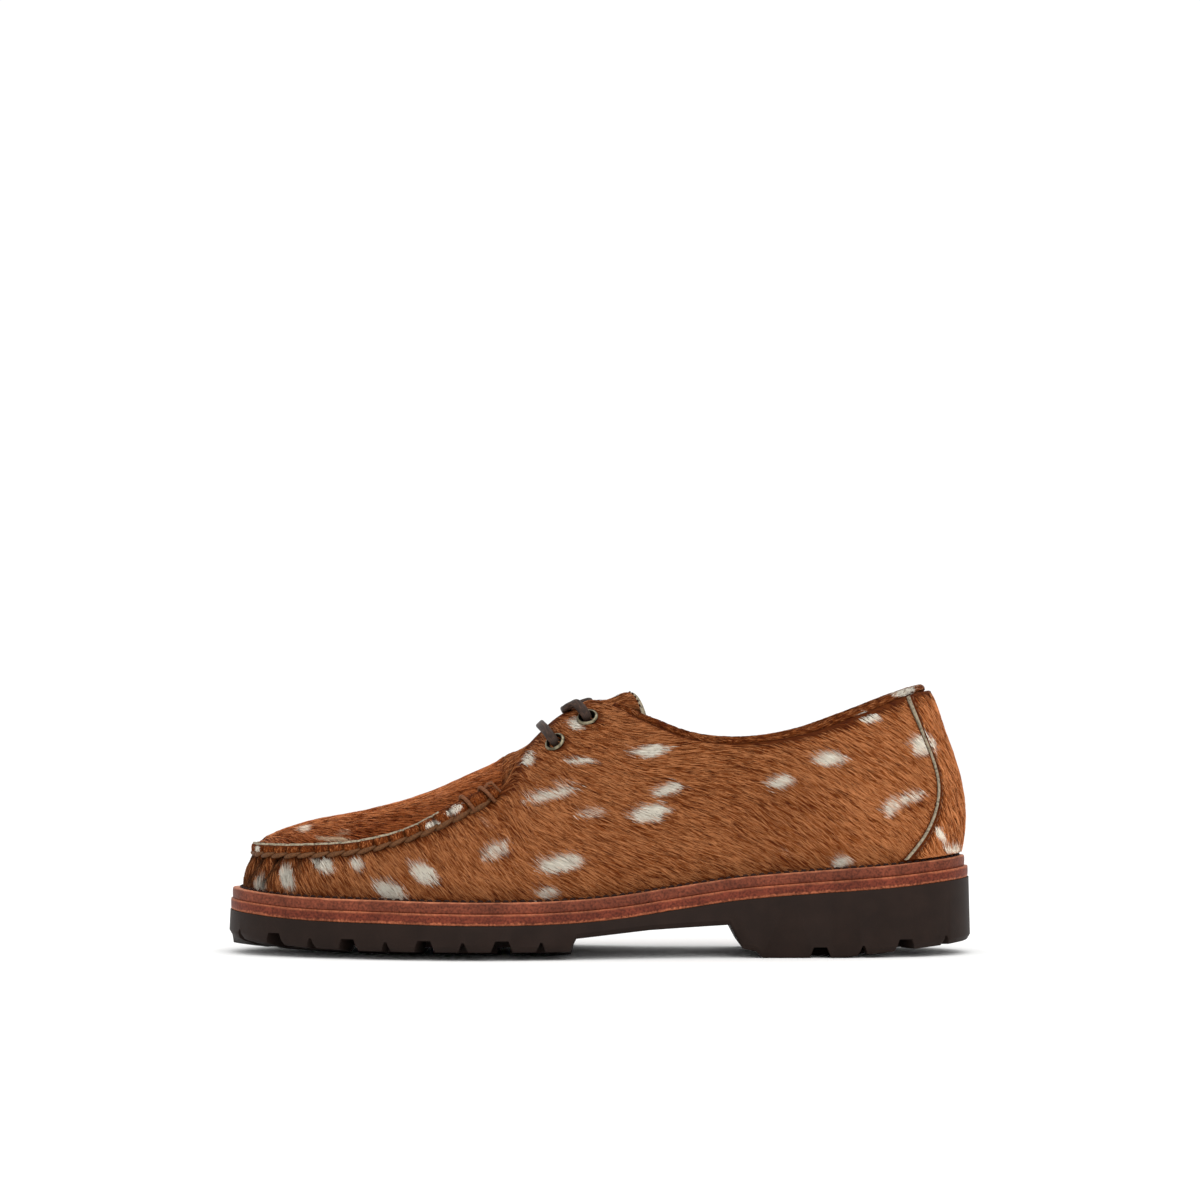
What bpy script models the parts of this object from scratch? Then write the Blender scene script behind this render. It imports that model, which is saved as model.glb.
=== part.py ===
"""Left moc-toe lace-up shoe with a two-eyelet throat on a welted lug sole.

The toe points along -X, the outer side of the foot along -Y, and the floor is the plane z = 0.
Sizes are in millimetres and become metres when a mesh is made. Each piece is one named object.
"""

import math
from collections import namedtuple

import bmesh
import bpy
from mathutils import Vector

MM = 0.001
UP = Vector((0.0, 0.0, 1.0))

# Driving sizes of the last and the sole
SOLE_LENGTH = 300.8
TOE_SWING = 5.0
WELT_THICKNESS = 4.2
MIDSOLE_THICKNESS = 4.2
INSOLE_THICKNESS = 2.5
WELT_WIDTH = 15.0
UPPER_WALL = 2.2
FIT_GAP = 0.3

# How far each layer of the sole stands back from the rubber's outline at the toe and at the heel
WELT_SETBACK = (1.4, 2.4)
MIDSOLE_SETBACK = (0.7, 1.0)
RUBBER_TOP_SETBACK = (0.4, 0.6)
RUBBER_ROUNDING = 2.0

# Tread: a cambered forefoot, then the waist and the heel of the table below, with lugs cut in both
FOREFOOT_END_X = -11.0
FOREFOOT_CAMBER = 3.4
CAMBER_FREE_SHARE = 0.25
TOE_SPRING_START_X = -82.0
TOE_SPRING = 3.8
LUG_HEIGHT = 4.3
NOTCH_HEIGHT = 3.6
LUG_REACH = 15.0
NOTCH_REACH = 9.0
FOREFOOT_LUG_START_X = -22.3
FOREFOOT_LUG_PITCH = -15.2
FOREFOOT_CUTS = 9
HEEL_LUG_START_X = 87.0
HEEL_LUG_PITCH = 17.0
HEEL_CUTS = 4
GAP_WIDTHS = (8.6, 5.2)
NOTCH_WIDTHS = (4.0, 0.9)
MOAT_INSET = 15.0
MOAT_WIDTH = 4.0
FOREFOOT_FIELD_END_X = -20.0
HEEL_FIELD_START_X = 73.0
BAR_WIDTH = 5.0

# Trim
SEAM_LIP_OUTER = 1.2
SEAM_LIP_INNER = 0.6
SEAM_LIP_HEIGHT = 3.5
BINDING_WIDTH = 3.2
BINDING_HEIGHT = 2.6
HEEL_STRIP_THICKNESS = 1.2
TONGUE_THICKNESS = 1.8
TONGUE_STEPS = 14
TONGUE_RISE = (12.6, 16.5)
EYELET_FLANGE_RADIUS = 4.2
EYELET_HOLE_RADIUS = 2.4
EYELET_BARREL_RADIUS = 2.8
EYELET_FLANGE_HEIGHT = 0.9
LACE_WIDTH = 3.6
LACE_THICKNESS = 1.7

# Mesh density
STATIONS = 42
ACROSS = 8
STEPS_PER_ROW = 2
WALL_STEPS = 9
APRON_STEPS = 10

# Half widths of the rubber sole beside a centre line that swings inwards at the toe
OutlineRow = namedtuple("OutlineRow", "along lateral medial")
OUTLINE = (
    OutlineRow(0.00, 0.0, 0.0),
    OutlineRow(0.02, 20.0, 19.4),
    OutlineRow(0.06, 31.3, 30.2),
    OutlineRow(0.15, 44.0, 43.0),
    OutlineRow(0.24, 51.5, 50.0),
    OutlineRow(0.33, 55.0, 51.4),
    OutlineRow(0.42, 52.0, 46.5),
    OutlineRow(0.52, 44.8, 38.5),
    OutlineRow(0.62, 38.8, 34.2),
    OutlineRow(0.72, 36.4, 35.0),
    OutlineRow(0.82, 36.6, 36.2),
    OutlineRow(0.90, 33.0, 33.0),
    OutlineRow(0.96, 24.2, 24.2),
    OutlineRow(0.985, 15.8, 15.8),
    OutlineRow(1.00, 0.0, 0.0),
)

# Height of the welt's top along the shoe: toe spring, tread line and heel lift
WeltRow = namedtuple("WeltRow", "x height")
WELT_TOP = (
    WeltRow(-150.0, 26.6),
    WeltRow(-120.0, 24.0),
    WeltRow(-85.0, 23.1),
    WeltRow(-50.0, 22.5),
    WeltRow(-20.0, 22.8),
    WeltRow(5.0, 24.4),
    WeltRow(30.0, 28.0),
    WeltRow(55.0, 31.6),
    WeltRow(85.0, 34.2),
    WeltRow(115.0, 36.3),
    WeltRow(150.0, 39.9),
)

# Underside of the rubber behind the forefoot: waist, breast with its foot step, and bevelled heel
TreadRow = namedtuple("TreadRow", "x height")
TREAD = (
    TreadRow(-8.5, 8.3),
    TreadRow(20.0, 11.3),
    TreadRow(51.5, 13.1),
    TreadRow(56.6, 3.6),
    TreadRow(61.5, 2.8),
    TreadRow(64.5, 0.0),
    TreadRow(92.0, 0.0),
    TreadRow(150.4, 5.8),
)

# How far the upper stands back from the rubber's outline
MarginRow = namedtuple("MarginRow", "along margin")
FEATHER_MARGIN = (
    MarginRow(0.0, 5.2),
    MarginRow(0.2, 5.2),
    MarginRow(0.5, 4.4),
    MarginRow(0.8, 3.9),
    MarginRow(1.0, 5.2),
)

# Sections of the upper, from the toe to the back of the heel. foot is the angle round the sole where
# the section stands; x, half and z give its top edge; the leans are climb angles at both ends.
SectionRow = namedtuple("SectionRow", "foot x half z foot_lean top_lean top_reach")
UPPER_SECTIONS = (
    SectionRow(0.0, -141.0, 0.0, 40.8, 84.0, 66.0, 0.30),
    SectionRow(19.0, -134.7, 18.6, 40.7, 84.0, 66.0, 0.30),
    SectionRow(35.0, -118.0, 30.6, 40.8, 82.0, 64.0, 0.30),
    SectionRow(50.0, -94.0, 37.4, 42.6, 80.0, 60.0, 0.30),
    SectionRow(61.0, -72.5, 37.8, 48.4, 80.0, 56.0, 0.30),
    SectionRow(69.0, -53.0, 34.4, 57.4, 80.0, 52.0, 0.28),
    SectionRow(75.0, -38.5, 29.0, 65.6, 80.0, 46.0, 0.26),
    SectionRow(78.5, -32.6, 17.0, 77.6, 80.0, 32.0, 0.24),
    SectionRow(82.5, -26.8, 10.0, 85.9, 82.0, 22.0, 0.24),
    SectionRow(87.0, -13.6, 8.0, 95.7, 82.0, 18.0, 0.24),
    SectionRow(92.5, 1.0, 8.5, 101.0, 82.0, 22.0, 0.24),
    SectionRow(100.0, 18.5, 17.5, 93.3, 82.0, 45.0, 0.26),
    SectionRow(108.0, 37.0, 25.5, 86.2, 80.0, 66.0, 0.30),
    SectionRow(118.0, 58.0, 29.8, 84.5, 78.0, 80.0, 0.33),
    SectionRow(130.0, 81.0, 31.0, 88.1, 76.0, 80.0, 0.33),
    SectionRow(142.0, 102.0, 27.5, 95.3, 75.0, 76.0, 0.33),
    SectionRow(155.0, 119.0, 19.0, 102.0, 75.0, 72.0, 0.35),
    SectionRow(167.5, 129.3, 9.5, 105.2, 75.0, 70.0, 0.35),
    SectionRow(180.0, 132.8, 0.0, 105.6, 75.0, 69.0, 0.35),
)
SEAM_END_ROW = 6
CORNER_ROW = 10
LAST_ROW = len(UPPER_SECTIONS) - 1
FOOT_REACH = 0.38

# Height of the apron's middle over its seam, one value for each section up to the end of the seam
ApronRow = namedtuple("ApronRow", "section crown")
APRON = (
    ApronRow(0.0, 0.0),
    ApronRow(1.0, 6.5),
    ApronRow(2.0, 12.5),
    ApronRow(3.0, 14.8),
    ApronRow(4.0, 15.6),
    ApronRow(5.0, 14.6),
    ApronRow(6.0, 13.6),
)

# The heel strip's half width along the upper's sections, from its foot to its top
StripRow = namedtuple("StripRow", "share sections")
HEEL_STRIP = (
    StripRow(0.00, 2.90),
    StripRow(0.16, 2.30),
    StripRow(0.32, 1.80),
    StripRow(0.45, 1.55),
    StripRow(0.60, 1.46),
    StripRow(0.80, 1.50),
    StripRow(0.97, 1.70),
)

# The tongue along the upper's sections: its depth under the upper's outer face, how far it runs under
# each facing (less than nothing where it stops short), and its rise per width between them
TongueRow = namedtuple("TongueRow", "section level tuck arch")
TONGUE = (
    TongueRow(6.22, 0.3, -1.2, 0.234),
    TongueRow(6.45, 1.6, -0.9, 0.215),
    TongueRow(6.75, 2.9, 0.3, 0.20),
    TongueRow(7.20, 2.9, 6.0, 0.18),
    TongueRow(7.70, 2.9, 11.0, 0.17),
    TongueRow(8.30, 2.9, 14.0, 0.16),
    TongueRow(9.00, 3.1, 15.0, 0.19),
    TongueRow(9.60, 3.7, 15.0, 0.30),
    TongueRow(10.0, 4.4, 15.0, 0.40),
)

# Each pair of eyelets: its section, its distance from the facing's edge, the section where the lace
# crosses that edge, and the lace's height over the edge and over the middle
EyeletRow = namedtuple("EyeletRow", "label section edge_distance bar_section edge_lift middle_lift")
EYELETS = (
    EyeletRow("lower", 8.545, 13.7, 8.40, 2.4, 3.6),
    EyeletRow("upper", 9.50, 9.8, 9.22, 2.6, 4.6),
)

LATERAL, MEDIAL = -1, 1


def value_at(rows, key, column, at):
    """A table's column at a key, on a smooth curve through its rows."""
    keys = [getattr(row, key) for row in rows]
    values = [getattr(row, column) for row in rows]
    last = len(keys) - 1
    at = min(max(at, keys[0]), keys[last])
    i = 0
    while i < last - 1 and at > keys[i + 1]:
        i += 1

    def slope(j):
        before, after = max(j - 1, 0), min(j + 1, last)
        return (values[after] - values[before]) / (keys[after] - keys[before])

    span = keys[i + 1] - keys[i]
    t = (at - keys[i]) / span
    start, end = values[i], values[i + 1]
    return (
        start * (1 + 2 * t) * (1 - t) ** 2
        + end * t * t * (3 - 2 * t)
        + span * (slope(i) * t * (1 - t) ** 2 - slope(i + 1) * t * t * (1 - t))
    )


def smoothstep(t):
    """A soft ramp from 0 to 1."""
    t = min(max(t, 0.0), 1.0)
    return t * t * (3 - 2 * t)


def centre_line(x):
    """The last's centre line, which swings to the inner side at the toe."""
    return TOE_SWING * smoothstep((20.0 - x) / 190.0)


HalfRow = namedtuple("HalfRow", "along lateral medial")
SQUARED = tuple(HalfRow(r.along, r.lateral**2, r.medial**2) for r in OUTLINE)


def half_width(along, side):
    """Half width of the rubber sole. Squares are smoothed, which gives round ends."""
    column = "lateral" if side == LATERAL else "medial"
    return math.sqrt(max(value_at(SQUARED, "along", column, along), 0.0))


def outline_point(angle, side):
    """A point of the rubber's outline. The angle runs from 0 at the toe to 180 at the heel."""
    along = (1 - math.cos(math.radians(angle))) / 2
    x = (along - 0.5) * SOLE_LENGTH
    return Vector((x, centre_line(x) + side * half_width(along, side), 0.0))


def inset_point(angle, side, inset):
    """An outline point moved straight inwards."""
    step = 1.5
    if angle < step or angle > 180 - step:
        inwards = Vector((1.0 if angle < 90 else -1.0, 0.0, 0.0))
    else:
        ahead = outline_point(angle + step, side) - outline_point(angle - step, side)
        inwards = Vector((side * ahead.y, -side * ahead.x, 0.0)).normalized()
    return outline_point(angle, side) + inwards * inset


def setback(angle, ends):
    """A layer's setback, eased from its toe value to its heel value."""
    return ends[0] + (ends[1] - ends[0]) * (1 - math.cos(math.radians(angle))) / 2


def welt_top(x):
    return value_at(WELT_TOP, "x", "height", x)


def tread_height(x, share):
    """Height of the rubber's underside before its lugs are cut; share is 0 in the middle, 1 at the edge."""
    if x > (FOREFOOT_END_X + TREAD[0].x) / 2:
        for first, second in zip(TREAD, TREAD[1:]):
            if x <= second.x:
                t = max(x - first.x, 0.0) / (second.x - first.x)
                return first.height + (second.height - first.height) * t
        return TREAD[-1].height
    raised = max(share - CAMBER_FREE_SHARE, 0.0) / (1 - CAMBER_FREE_SHARE)
    spring = max(TOE_SPRING_START_X - x, 0.0) / (SOLE_LENGTH / 2 + TOE_SPRING_START_X)
    return FOREFOOT_CAMBER * raised + TOE_SPRING * spring**2


def section_point(row, side, share):
    """A point of the upper's outer face: a section number, the side of the foot, and foot 0 to top 1."""

    def column(name):
        return value_at(NUMBERED_SECTIONS, "number", name, row)

    angle = column("foot")
    margin = value_at(FEATHER_MARGIN, "along", "margin", (1 - math.cos(math.radians(angle))) / 2)
    foot = inset_point(angle, side, margin)
    outwards = (foot - inset_point(angle, side, margin + 5.0)).normalized()
    foot.z = welt_top(foot.x) + FIT_GAP
    x = column("x")
    top = Vector((x, centre_line(x) + side * column("half"), column("z")))
    chord = (top - foot).length
    lean, top_lean = math.radians(column("foot_lean")), math.radians(column("top_lean"))
    low = foot + (outwards * math.cos(lean) + UP * math.sin(lean)) * chord * FOOT_REACH
    high = top + (outwards * math.cos(top_lean) - UP * math.sin(top_lean)) * chord * column("top_reach")
    rest = 1 - share
    return (
        foot * rest**3
        + low * 3 * rest * rest * share
        + high * 3 * rest * share * share
        + top * share**3
    )


NumberedRow = namedtuple("NumberedRow", ("number",) + SectionRow._fields)
NUMBERED_SECTIONS = tuple(NumberedRow(n, *row) for n, row in enumerate(UPPER_SECTIONS))


def section_normal(row, side, share):
    """The outward normal of the upper's outer face."""
    step = 0.02
    ahead = section_point(min(row + step, LAST_ROW), side, share)
    behind = section_point(max(row - step, 0.0), side, share)
    above = section_point(row, side, min(share + step, 1.0))
    below = section_point(row, side, max(share - step, 0.0))
    return ((above - below).cross(ahead - behind) * side).normalized()


def apron_point(row, share):
    """A point of the apron's outer face: a section number, and 0 at the outer seam to 1 at the inner."""
    start = section_point(row, LATERAL, 1.0)
    end = section_point(row, MEDIAL, 1.0)
    crown = value_at(APRON, "section", "crown", row)
    point = start.lerp(end, share)
    point.z += crown * (1 - abs(2 * share - 1) ** 2.2)
    return point


def make_object(name, bm, collection, material):
    """A named object from a bmesh in millimetres."""
    bmesh.ops.scale(bm, vec=(MM, MM, MM), verts=bm.verts)
    mesh = bpy.data.meshes.new(name)
    bm.to_mesh(mesh)
    bm.free()
    mesh.shade_smooth()
    mesh.set_sharp_from_angle(angle=math.radians(40))
    obj = bpy.data.objects.new(name, mesh)
    collection.objects.link(obj)
    if material:
        mesh.materials.append(material)
    return obj


def make_material(name, colour, roughness, metallic=0.0):
    """A plain finish with a linear base colour."""
    material = bpy.data.materials.new(name)
    material.use_nodes = True
    shader = material.node_tree.nodes["Principled BSDF"]
    shader.inputs["Base Color"].default_value = (*colour, 1.0)
    shader.inputs["Roughness"].default_value = roughness
    shader.inputs["Metallic"].default_value = metallic
    return material


def add_rows(bm, rows, closed=False):
    """Faces between rows of vertices. A row of one vertex makes a fan."""
    pairs = list(zip(rows, rows[1:]))
    if closed:
        pairs.append((rows[-1], rows[0]))
    for first, second in pairs:
        steps = max(len(first), len(second)) - 1
        for i in range(steps):
            corners = [first[min(i, len(first) - 1)], first[min(i + 1, len(first) - 1)]]
            corners += [second[min(i + 1, len(second) - 1)], second[min(i, len(second) - 1)]]
            bm.faces.new(list(dict.fromkeys(corners)))


def add_tube(bm, rings):
    """A closed tube through rings of points, with flat ends."""
    loops = [[bm.verts.new(p) for p in ring] for ring in rings]
    add_rows(bm, [loop + loop[:1] for loop in loops])
    bm.faces.new(loops[0])
    bm.faces.new(loops[-1])


def face_out(bm):
    """Turns a closed mesh's faces outwards."""
    bmesh.ops.recalc_face_normals(bm, faces=bm.faces)


def angle_at(x):
    """The angle round the outline of a place along the sole."""
    return math.degrees(math.acos(-2 * x / SOLE_LENGTH))


def sole_angles():
    """Angles of the sole's stations, with extra ones at the steps of its underside."""
    fixed = [angle_at(FOREFOOT_END_X)] + [angle_at(row.x) for row in TREAD[:-1]]
    spacing = 180.0 / STATIONS
    even = [spacing * i for i in range(STATIONS + 1)]
    kept = [a for a in even if all(abs(a - b) > spacing * 0.4 for b in fixed)]
    return sorted(kept + fixed)


def plate_rows(bm, inset_at, height, across=2):
    """Rows of vertices across the sole's outline, from its outer to its inner edge, toe to heel."""
    rows = []
    for angle in sole_angles():
        outer = inset_point(angle, LATERAL, inset_at(angle))
        inner = inset_point(angle, MEDIAL, inset_at(angle))
        steps = 0 if (outer - inner).length < 0.01 else across
        row = []
        for i in range(steps + 1):
            point = outer.lerp(inner, i / across)
            point.z = height(point.x, abs(2 * i / across - 1) if steps else 1.0)
            row.append(bm.verts.new(point))
        rows.append(row)
    return rows


def rim(rows):
    """The closed edge of a plate's rows."""
    return [row[0] for row in rows] + [row[-1] for row in rows[-2:0:-1]]


def add_block(bm, plates):
    """A solid from its top plate to its bottom plate. The plates between them only shape its side."""
    add_rows(bm, plates[0])
    add_rows(bm, plates[-1])
    for above, below in zip(plates, plates[1:]):
        pairs = list(zip(rim(above), rim(below)))
        add_rows(bm, [list(pair) for pair in pairs], closed=True)
    for plate in plates[1:-1]:
        edge = set(rim(plate))
        spare = [vert for row in plate for vert in row if vert not in edge]
        bmesh.ops.delete(bm, geom=spare, context="VERTS")
    face_out(bm)


def rubber_top(x):
    return welt_top(x) - WELT_THICKNESS - MIDSOLE_THICKNESS - 2 * FIT_GAP


def make_outsole(parts, cutters, material):
    """The rubber sole and heel in one: a slab with a stepped underside, cut into lugs."""
    bm = bmesh.new()
    top = plate_rows(bm, lambda a: setback(a, RUBBER_TOP_SETBACK), lambda x, share: rubber_top(x))
    widest = plate_rows(bm, lambda a: 0.0, lambda x, share: tread_height(x, share) + RUBBER_ROUNDING)
    bottom = plate_rows(bm, lambda a: RUBBER_ROUNDING * 0.6, tread_height, ACROSS)
    add_block(bm, [top, widest, bottom])
    outsole = make_object("outsole", bm, parts, material)
    for name, make in (("moats", cut_moats), ("lug gaps", cut_lugs), ("bars", cut_bars)):
        group = bpy.data.collections.new("cutters for " + name)
        cutters.children.link(group)
        make(group)
        boolean = outsole.modifiers.new(name, "BOOLEAN")
        boolean.operand_type = "COLLECTION"
        boolean.collection = group
    return outsole


def make_cutter(name, bm, group):
    """A closed shape that only cuts others."""
    face_out(bm)
    cutter = make_object(name, bm, group, None)
    cutter.hide_render = True
    cutter.display_type = "WIRE"
    return cutter


def cut_moats(group):
    """The closed channels between the edge lugs and the middle fields, under forefoot and heel."""
    for name, forefoot, end_x in (("forefoot", True, FOREFOOT_FIELD_END_X), ("heel", False, HEEL_FIELD_START_X)):
        bm = bmesh.new()
        outer = field_loop(forefoot, end_x, 0.0)
        inner = field_loop(forefoot, end_x, MOAT_WIDTH)
        sections = []
        for out, into in zip(outer, inner):
            root = tread_height(out.x, 0.5) + LUG_HEIGHT
            ring = [Vector((p.x, p.y, z)) for p, z in ((out, root), (into, root), (into, -5.0), (out, -5.0))]
            sections.append([bm.verts.new(p) for p in ring])
        add_rows(bm, [section + section[:1] for section in sections], closed=True)
        make_cutter("moat_" + name, bm, group)


def field_loop(forefoot, end_x, shrink):
    """A closed loop round the middle field of the forefoot or the heel, shrunk by a distance."""
    steps = 14
    angle = angle_at(end_x - shrink if forefoot else end_x + shrink)
    start, end = (0.0, angle) if forefoot else (angle, 180.0)
    angles = [start + (end - start) * i / steps for i in range(steps + 1)]
    outer = [inset_point(a, LATERAL, MOAT_INSET + shrink) for a in angles]
    inner = [inset_point(a, MEDIAL, MOAT_INSET + shrink) for a in angles]
    return outer + (inner[:0:-1] if forefoot else inner[-2::-1])


def cut_lugs(group):
    """Gaps and narrow notches that part the lugs along both edges."""
    runs = (
        ("forefoot", FOREFOOT_LUG_START_X, FOREFOOT_LUG_PITCH, FOREFOOT_CUTS, 0),
        ("heel", HEEL_LUG_START_X, HEEL_LUG_PITCH, HEEL_CUTS, 1),
    )
    for run, start, pitch, count, first_gap in runs:
        for i in range(count):
            is_gap = (i + first_gap) % 2 == 1
            for side in (LATERAL, MEDIAL):
                cut_edge(group, f"cut_{run}_{i}_{side}", start + pitch * i, side, is_gap)


def cut_edge(group, name, x, side, is_gap):
    """One cut in from the edge, wider at the floor than at its root."""
    angle = angle_at(x)
    edge = outline_point(angle, side)
    inwards = (inset_point(angle, side, 5.0) - edge).normalized()
    beside = Vector((-inwards.y, inwards.x, 0.0))
    foot = tread_height(x, 1.0)
    depth = LUG_HEIGHT if is_gap else NOTCH_HEIGHT
    foot_width, root_width = GAP_WIDTHS if is_gap else NOTCH_WIDTHS
    reach = LUG_REACH if is_gap else NOTCH_REACH
    below = foot + 5.0
    floor_width = foot_width + (foot_width - root_width) * below / depth
    root = foot + depth
    corners = ((-root_width, root), (root_width, root), (floor_width, -5.0), (-floor_width, -5.0))
    bm = bmesh.new()
    rings = []
    for along in (-8.0, reach + 1.0):
        centre = edge + inwards * along
        rings.append([Vector((centre.x, centre.y, z)) + beside * width / 2 for width, z in corners])
    add_tube(bm, rings)
    make_cutter(name, bm, group)


def cut_bars(group):
    """Channels straight across the middle fields, which join the moats."""
    places = [FOREFOOT_LUG_START_X + FOREFOOT_LUG_PITCH * i for i in (1, 3, 5)]
    places.append(HEEL_LUG_START_X + HEEL_LUG_PITCH)
    for i, x in enumerate(places):
        root = tread_height(x, 0.0) + LUG_HEIGHT - 0.2
        corners = ((-1, root), (1, root), (1, -5.0), (-1, -5.0))
        bm = bmesh.new()
        rings = []
        for side in (LATERAL, MEDIAL):
            y = inset_point(angle_at(x), side, MOAT_INSET + MOAT_WIDTH / 2).y
            rings.append([Vector((x + sign * BAR_WIDTH / 2, y, z)) for sign, z in corners])
        add_tube(bm, rings)
        make_cutter(f"bar_{i}", bm, group)


def make_midsole(parts, material):
    """The leather midsole, a plate between rubber and welt."""
    bm = bmesh.new()
    drop = WELT_THICKNESS + FIT_GAP
    plates = []
    for depth in (drop, drop + MIDSOLE_THICKNESS):
        plates.append(plate_rows(bm, lambda a: setback(a, MIDSOLE_SETBACK), lambda x, share: welt_top(x) - depth))
    add_block(bm, plates)
    return make_object("midsole", bm, parts, material)


def make_welt(parts, material):
    """The leather welt, a ring that the upper stands on."""
    bm = bmesh.new()
    angles = sole_angles()
    stops = [(a, LATERAL) for a in angles] + [(a, MEDIAL) for a in angles[-2:0:-1]]
    sections = []
    for angle, side in stops:
        edge = setback(angle, WELT_SETBACK)
        outer, inner = (inset_point(angle, side, edge + inset) for inset in (0.0, WELT_WIDTH))
        ring = []
        for point, drop in ((outer, 0.0), (inner, 0.0), (inner, WELT_THICKNESS), (outer, WELT_THICKNESS)):
            ring.append(bm.verts.new((point.x, point.y, welt_top(point.x) - drop)))
        sections.append(ring)
    add_rows(bm, [section + section[:1] for section in sections], closed=True)
    face_out(bm)
    return make_object("welt", bm, parts, material)


def make_insole(parts, material):
    """The insole, which lies on the welt inside the upper's foot."""
    bm = bmesh.new()

    def inset(angle):
        along = (1 - math.cos(math.radians(angle))) / 2
        return value_at(FEATHER_MARGIN, "along", "margin", along) + UPPER_WALL + 0.8

    plates = []
    for lift in (FIT_GAP + INSOLE_THICKNESS, FIT_GAP):
        plates.append(plate_rows(bm, inset, lambda x, share: welt_top(x) + lift))
    add_block(bm, plates)
    return make_object("insole", bm, parts, material)


def row_numbers(first, last, steps=STEPS_PER_ROW):
    """Section numbers from one row to another, with steps between them."""
    count = round((last - first) * steps)
    return [first + (last - first) * i / count for i in range(count + 1)]


def make_upper(parts, cutters, material):
    """The hollow upper: a wall round the foot that is sewn to an apron over the toes."""
    bm = bmesh.new()
    numbers = row_numbers(0, LAST_ROW)
    seam_count = SEAM_END_ROW * STEPS_PER_ROW
    walls = {}
    for side in (LATERAL, MEDIAL):
        for i, row in enumerate(numbers):
            shared = side == MEDIAL and i in (0, len(numbers) - 1)
            if shared:
                walls[side, i] = walls[LATERAL, i]
                continue
            points = [section_point(row, side, j / WALL_STEPS) for j in range(WALL_STEPS + 1)]
            walls[side, i] = [bm.verts.new(p) for p in points]
    for side in (LATERAL, MEDIAL):
        add_rows(bm, [walls[side, i] for i in range(len(numbers))])
    apron = [[walls[LATERAL, 0][-1]]]
    for i in range(1, seam_count + 1):
        middle = [bm.verts.new(apron_point(numbers[i], j / APRON_STEPS)) for j in range(1, APRON_STEPS)]
        apron.append([walls[LATERAL, i][-1]] + middle + [walls[MEDIAL, i][-1]])
    add_rows(bm, apron)
    bmesh.ops.recalc_face_normals(bm, faces=bm.faces)
    bm.faces.ensure_lookup_table()
    if bm.faces[0].normal.x > 0:
        bmesh.ops.reverse_faces(bm, faces=bm.faces)
    upper = make_object("upper", bm, parts, material)
    shell = upper.modifiers.new("wall", "SOLIDIFY")
    shell.thickness = UPPER_WALL * MM
    shell.offset = -1.0
    shell.use_even_offset = True
    shell.use_quality_normals = True
    holes = bpy.data.collections.new("cutters_eyelets")
    cutters.children.link(holes)
    for label, centre, normal in eyelet_places():
        bm = bmesh.new()
        radius = EYELET_BARREL_RADIUS + FIT_GAP
        bmesh.ops.create_cone(bm, cap_ends=True, segments=16, radius1=radius, radius2=radius, depth=12.0)
        hole = make_cutter("hole_" + label, bm, holes)
        hole.location = centre * MM
        hole.rotation_euler = normal.to_track_quat("Z", "Y").to_euler()
    boolean = upper.modifiers.new("eyelet holes", "BOOLEAN")
    boolean.operand_type = "COLLECTION"
    boolean.collection = holes
    return upper


def share_below_edge(row, side, distance):
    """The share of a section that lies a distance down from its top edge."""
    share, walked = 1.0, 0.0
    point = section_point(row, side, share)
    while walked < distance:
        share -= 0.005
        below = section_point(row, side, share)
        walked += (below - point).length
        point = below
    return share


def eyelet_places():
    """Name, centre and outward normal of each eyelet, on the upper's outer face."""
    places = []
    for pair in EYELETS:
        for side, name in ((LATERAL, "outer"), (MEDIAL, "inner")):
            share = share_below_edge(pair.section, side, pair.edge_distance)
            centre = section_point(pair.section, side, share)
            places.append((f"{name}_{pair.label}", centre, section_normal(pair.section, side, share)))
    return places


def make_eyelets(parts, material):
    """Brass eyelets: a domed flange on the upper and a barrel through it, turned from one profile."""
    profile = (
        (EYELET_HOLE_RADIUS, FIT_GAP + EYELET_FLANGE_HEIGHT * 0.5),
        ((EYELET_FLANGE_RADIUS + EYELET_HOLE_RADIUS) / 2, FIT_GAP + EYELET_FLANGE_HEIGHT),
        (EYELET_FLANGE_RADIUS - 0.2, FIT_GAP + EYELET_FLANGE_HEIGHT * 0.6),
        (EYELET_FLANGE_RADIUS, FIT_GAP),
        (EYELET_BARREL_RADIUS, FIT_GAP),
        (EYELET_BARREL_RADIUS, -UPPER_WALL),
        (EYELET_HOLE_RADIUS, -UPPER_WALL),
    )
    for label, centre, normal in eyelet_places():
        bm = bmesh.new()
        corners = [bm.verts.new((radius, 0.0, z)) for radius, z in profile]
        for first, second in zip(corners, corners[1:] + corners[:1]):
            bm.edges.new((first, second))
        eyelet = make_object("eyelet_" + label, bm, parts, material)
        eyelet.location = centre * MM
        eyelet.rotation_euler = normal.to_track_quat("Z", "Y").to_euler()
        turn = eyelet.modifiers.new("turning", "SCREW")
        turn.steps = 16
        turn.render_steps = 16
        turn.use_merge_vertices = True
        turn.merge_threshold = 0.00001


def sweep(bm, path, frames, section):
    """A solid swept along a path: each section corner is (across, up) in the frame at its point."""
    rings = []
    for point, (across, up) in zip(path, frames):
        rings.append([point + across * a + up * b for a, b in section])
    add_tube(bm, rings)
    face_out(bm)


def rounded_section(width, height, foot):
    """A section with rounded top corners, standing on foot."""
    half = width / 2
    return (
        (-half, foot),
        (half, foot),
        (half, foot + height * 0.6),
        (half * 0.5, foot + height),
        (-half * 0.5, foot + height),
        (-half, foot + height * 0.6),
    )


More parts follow.
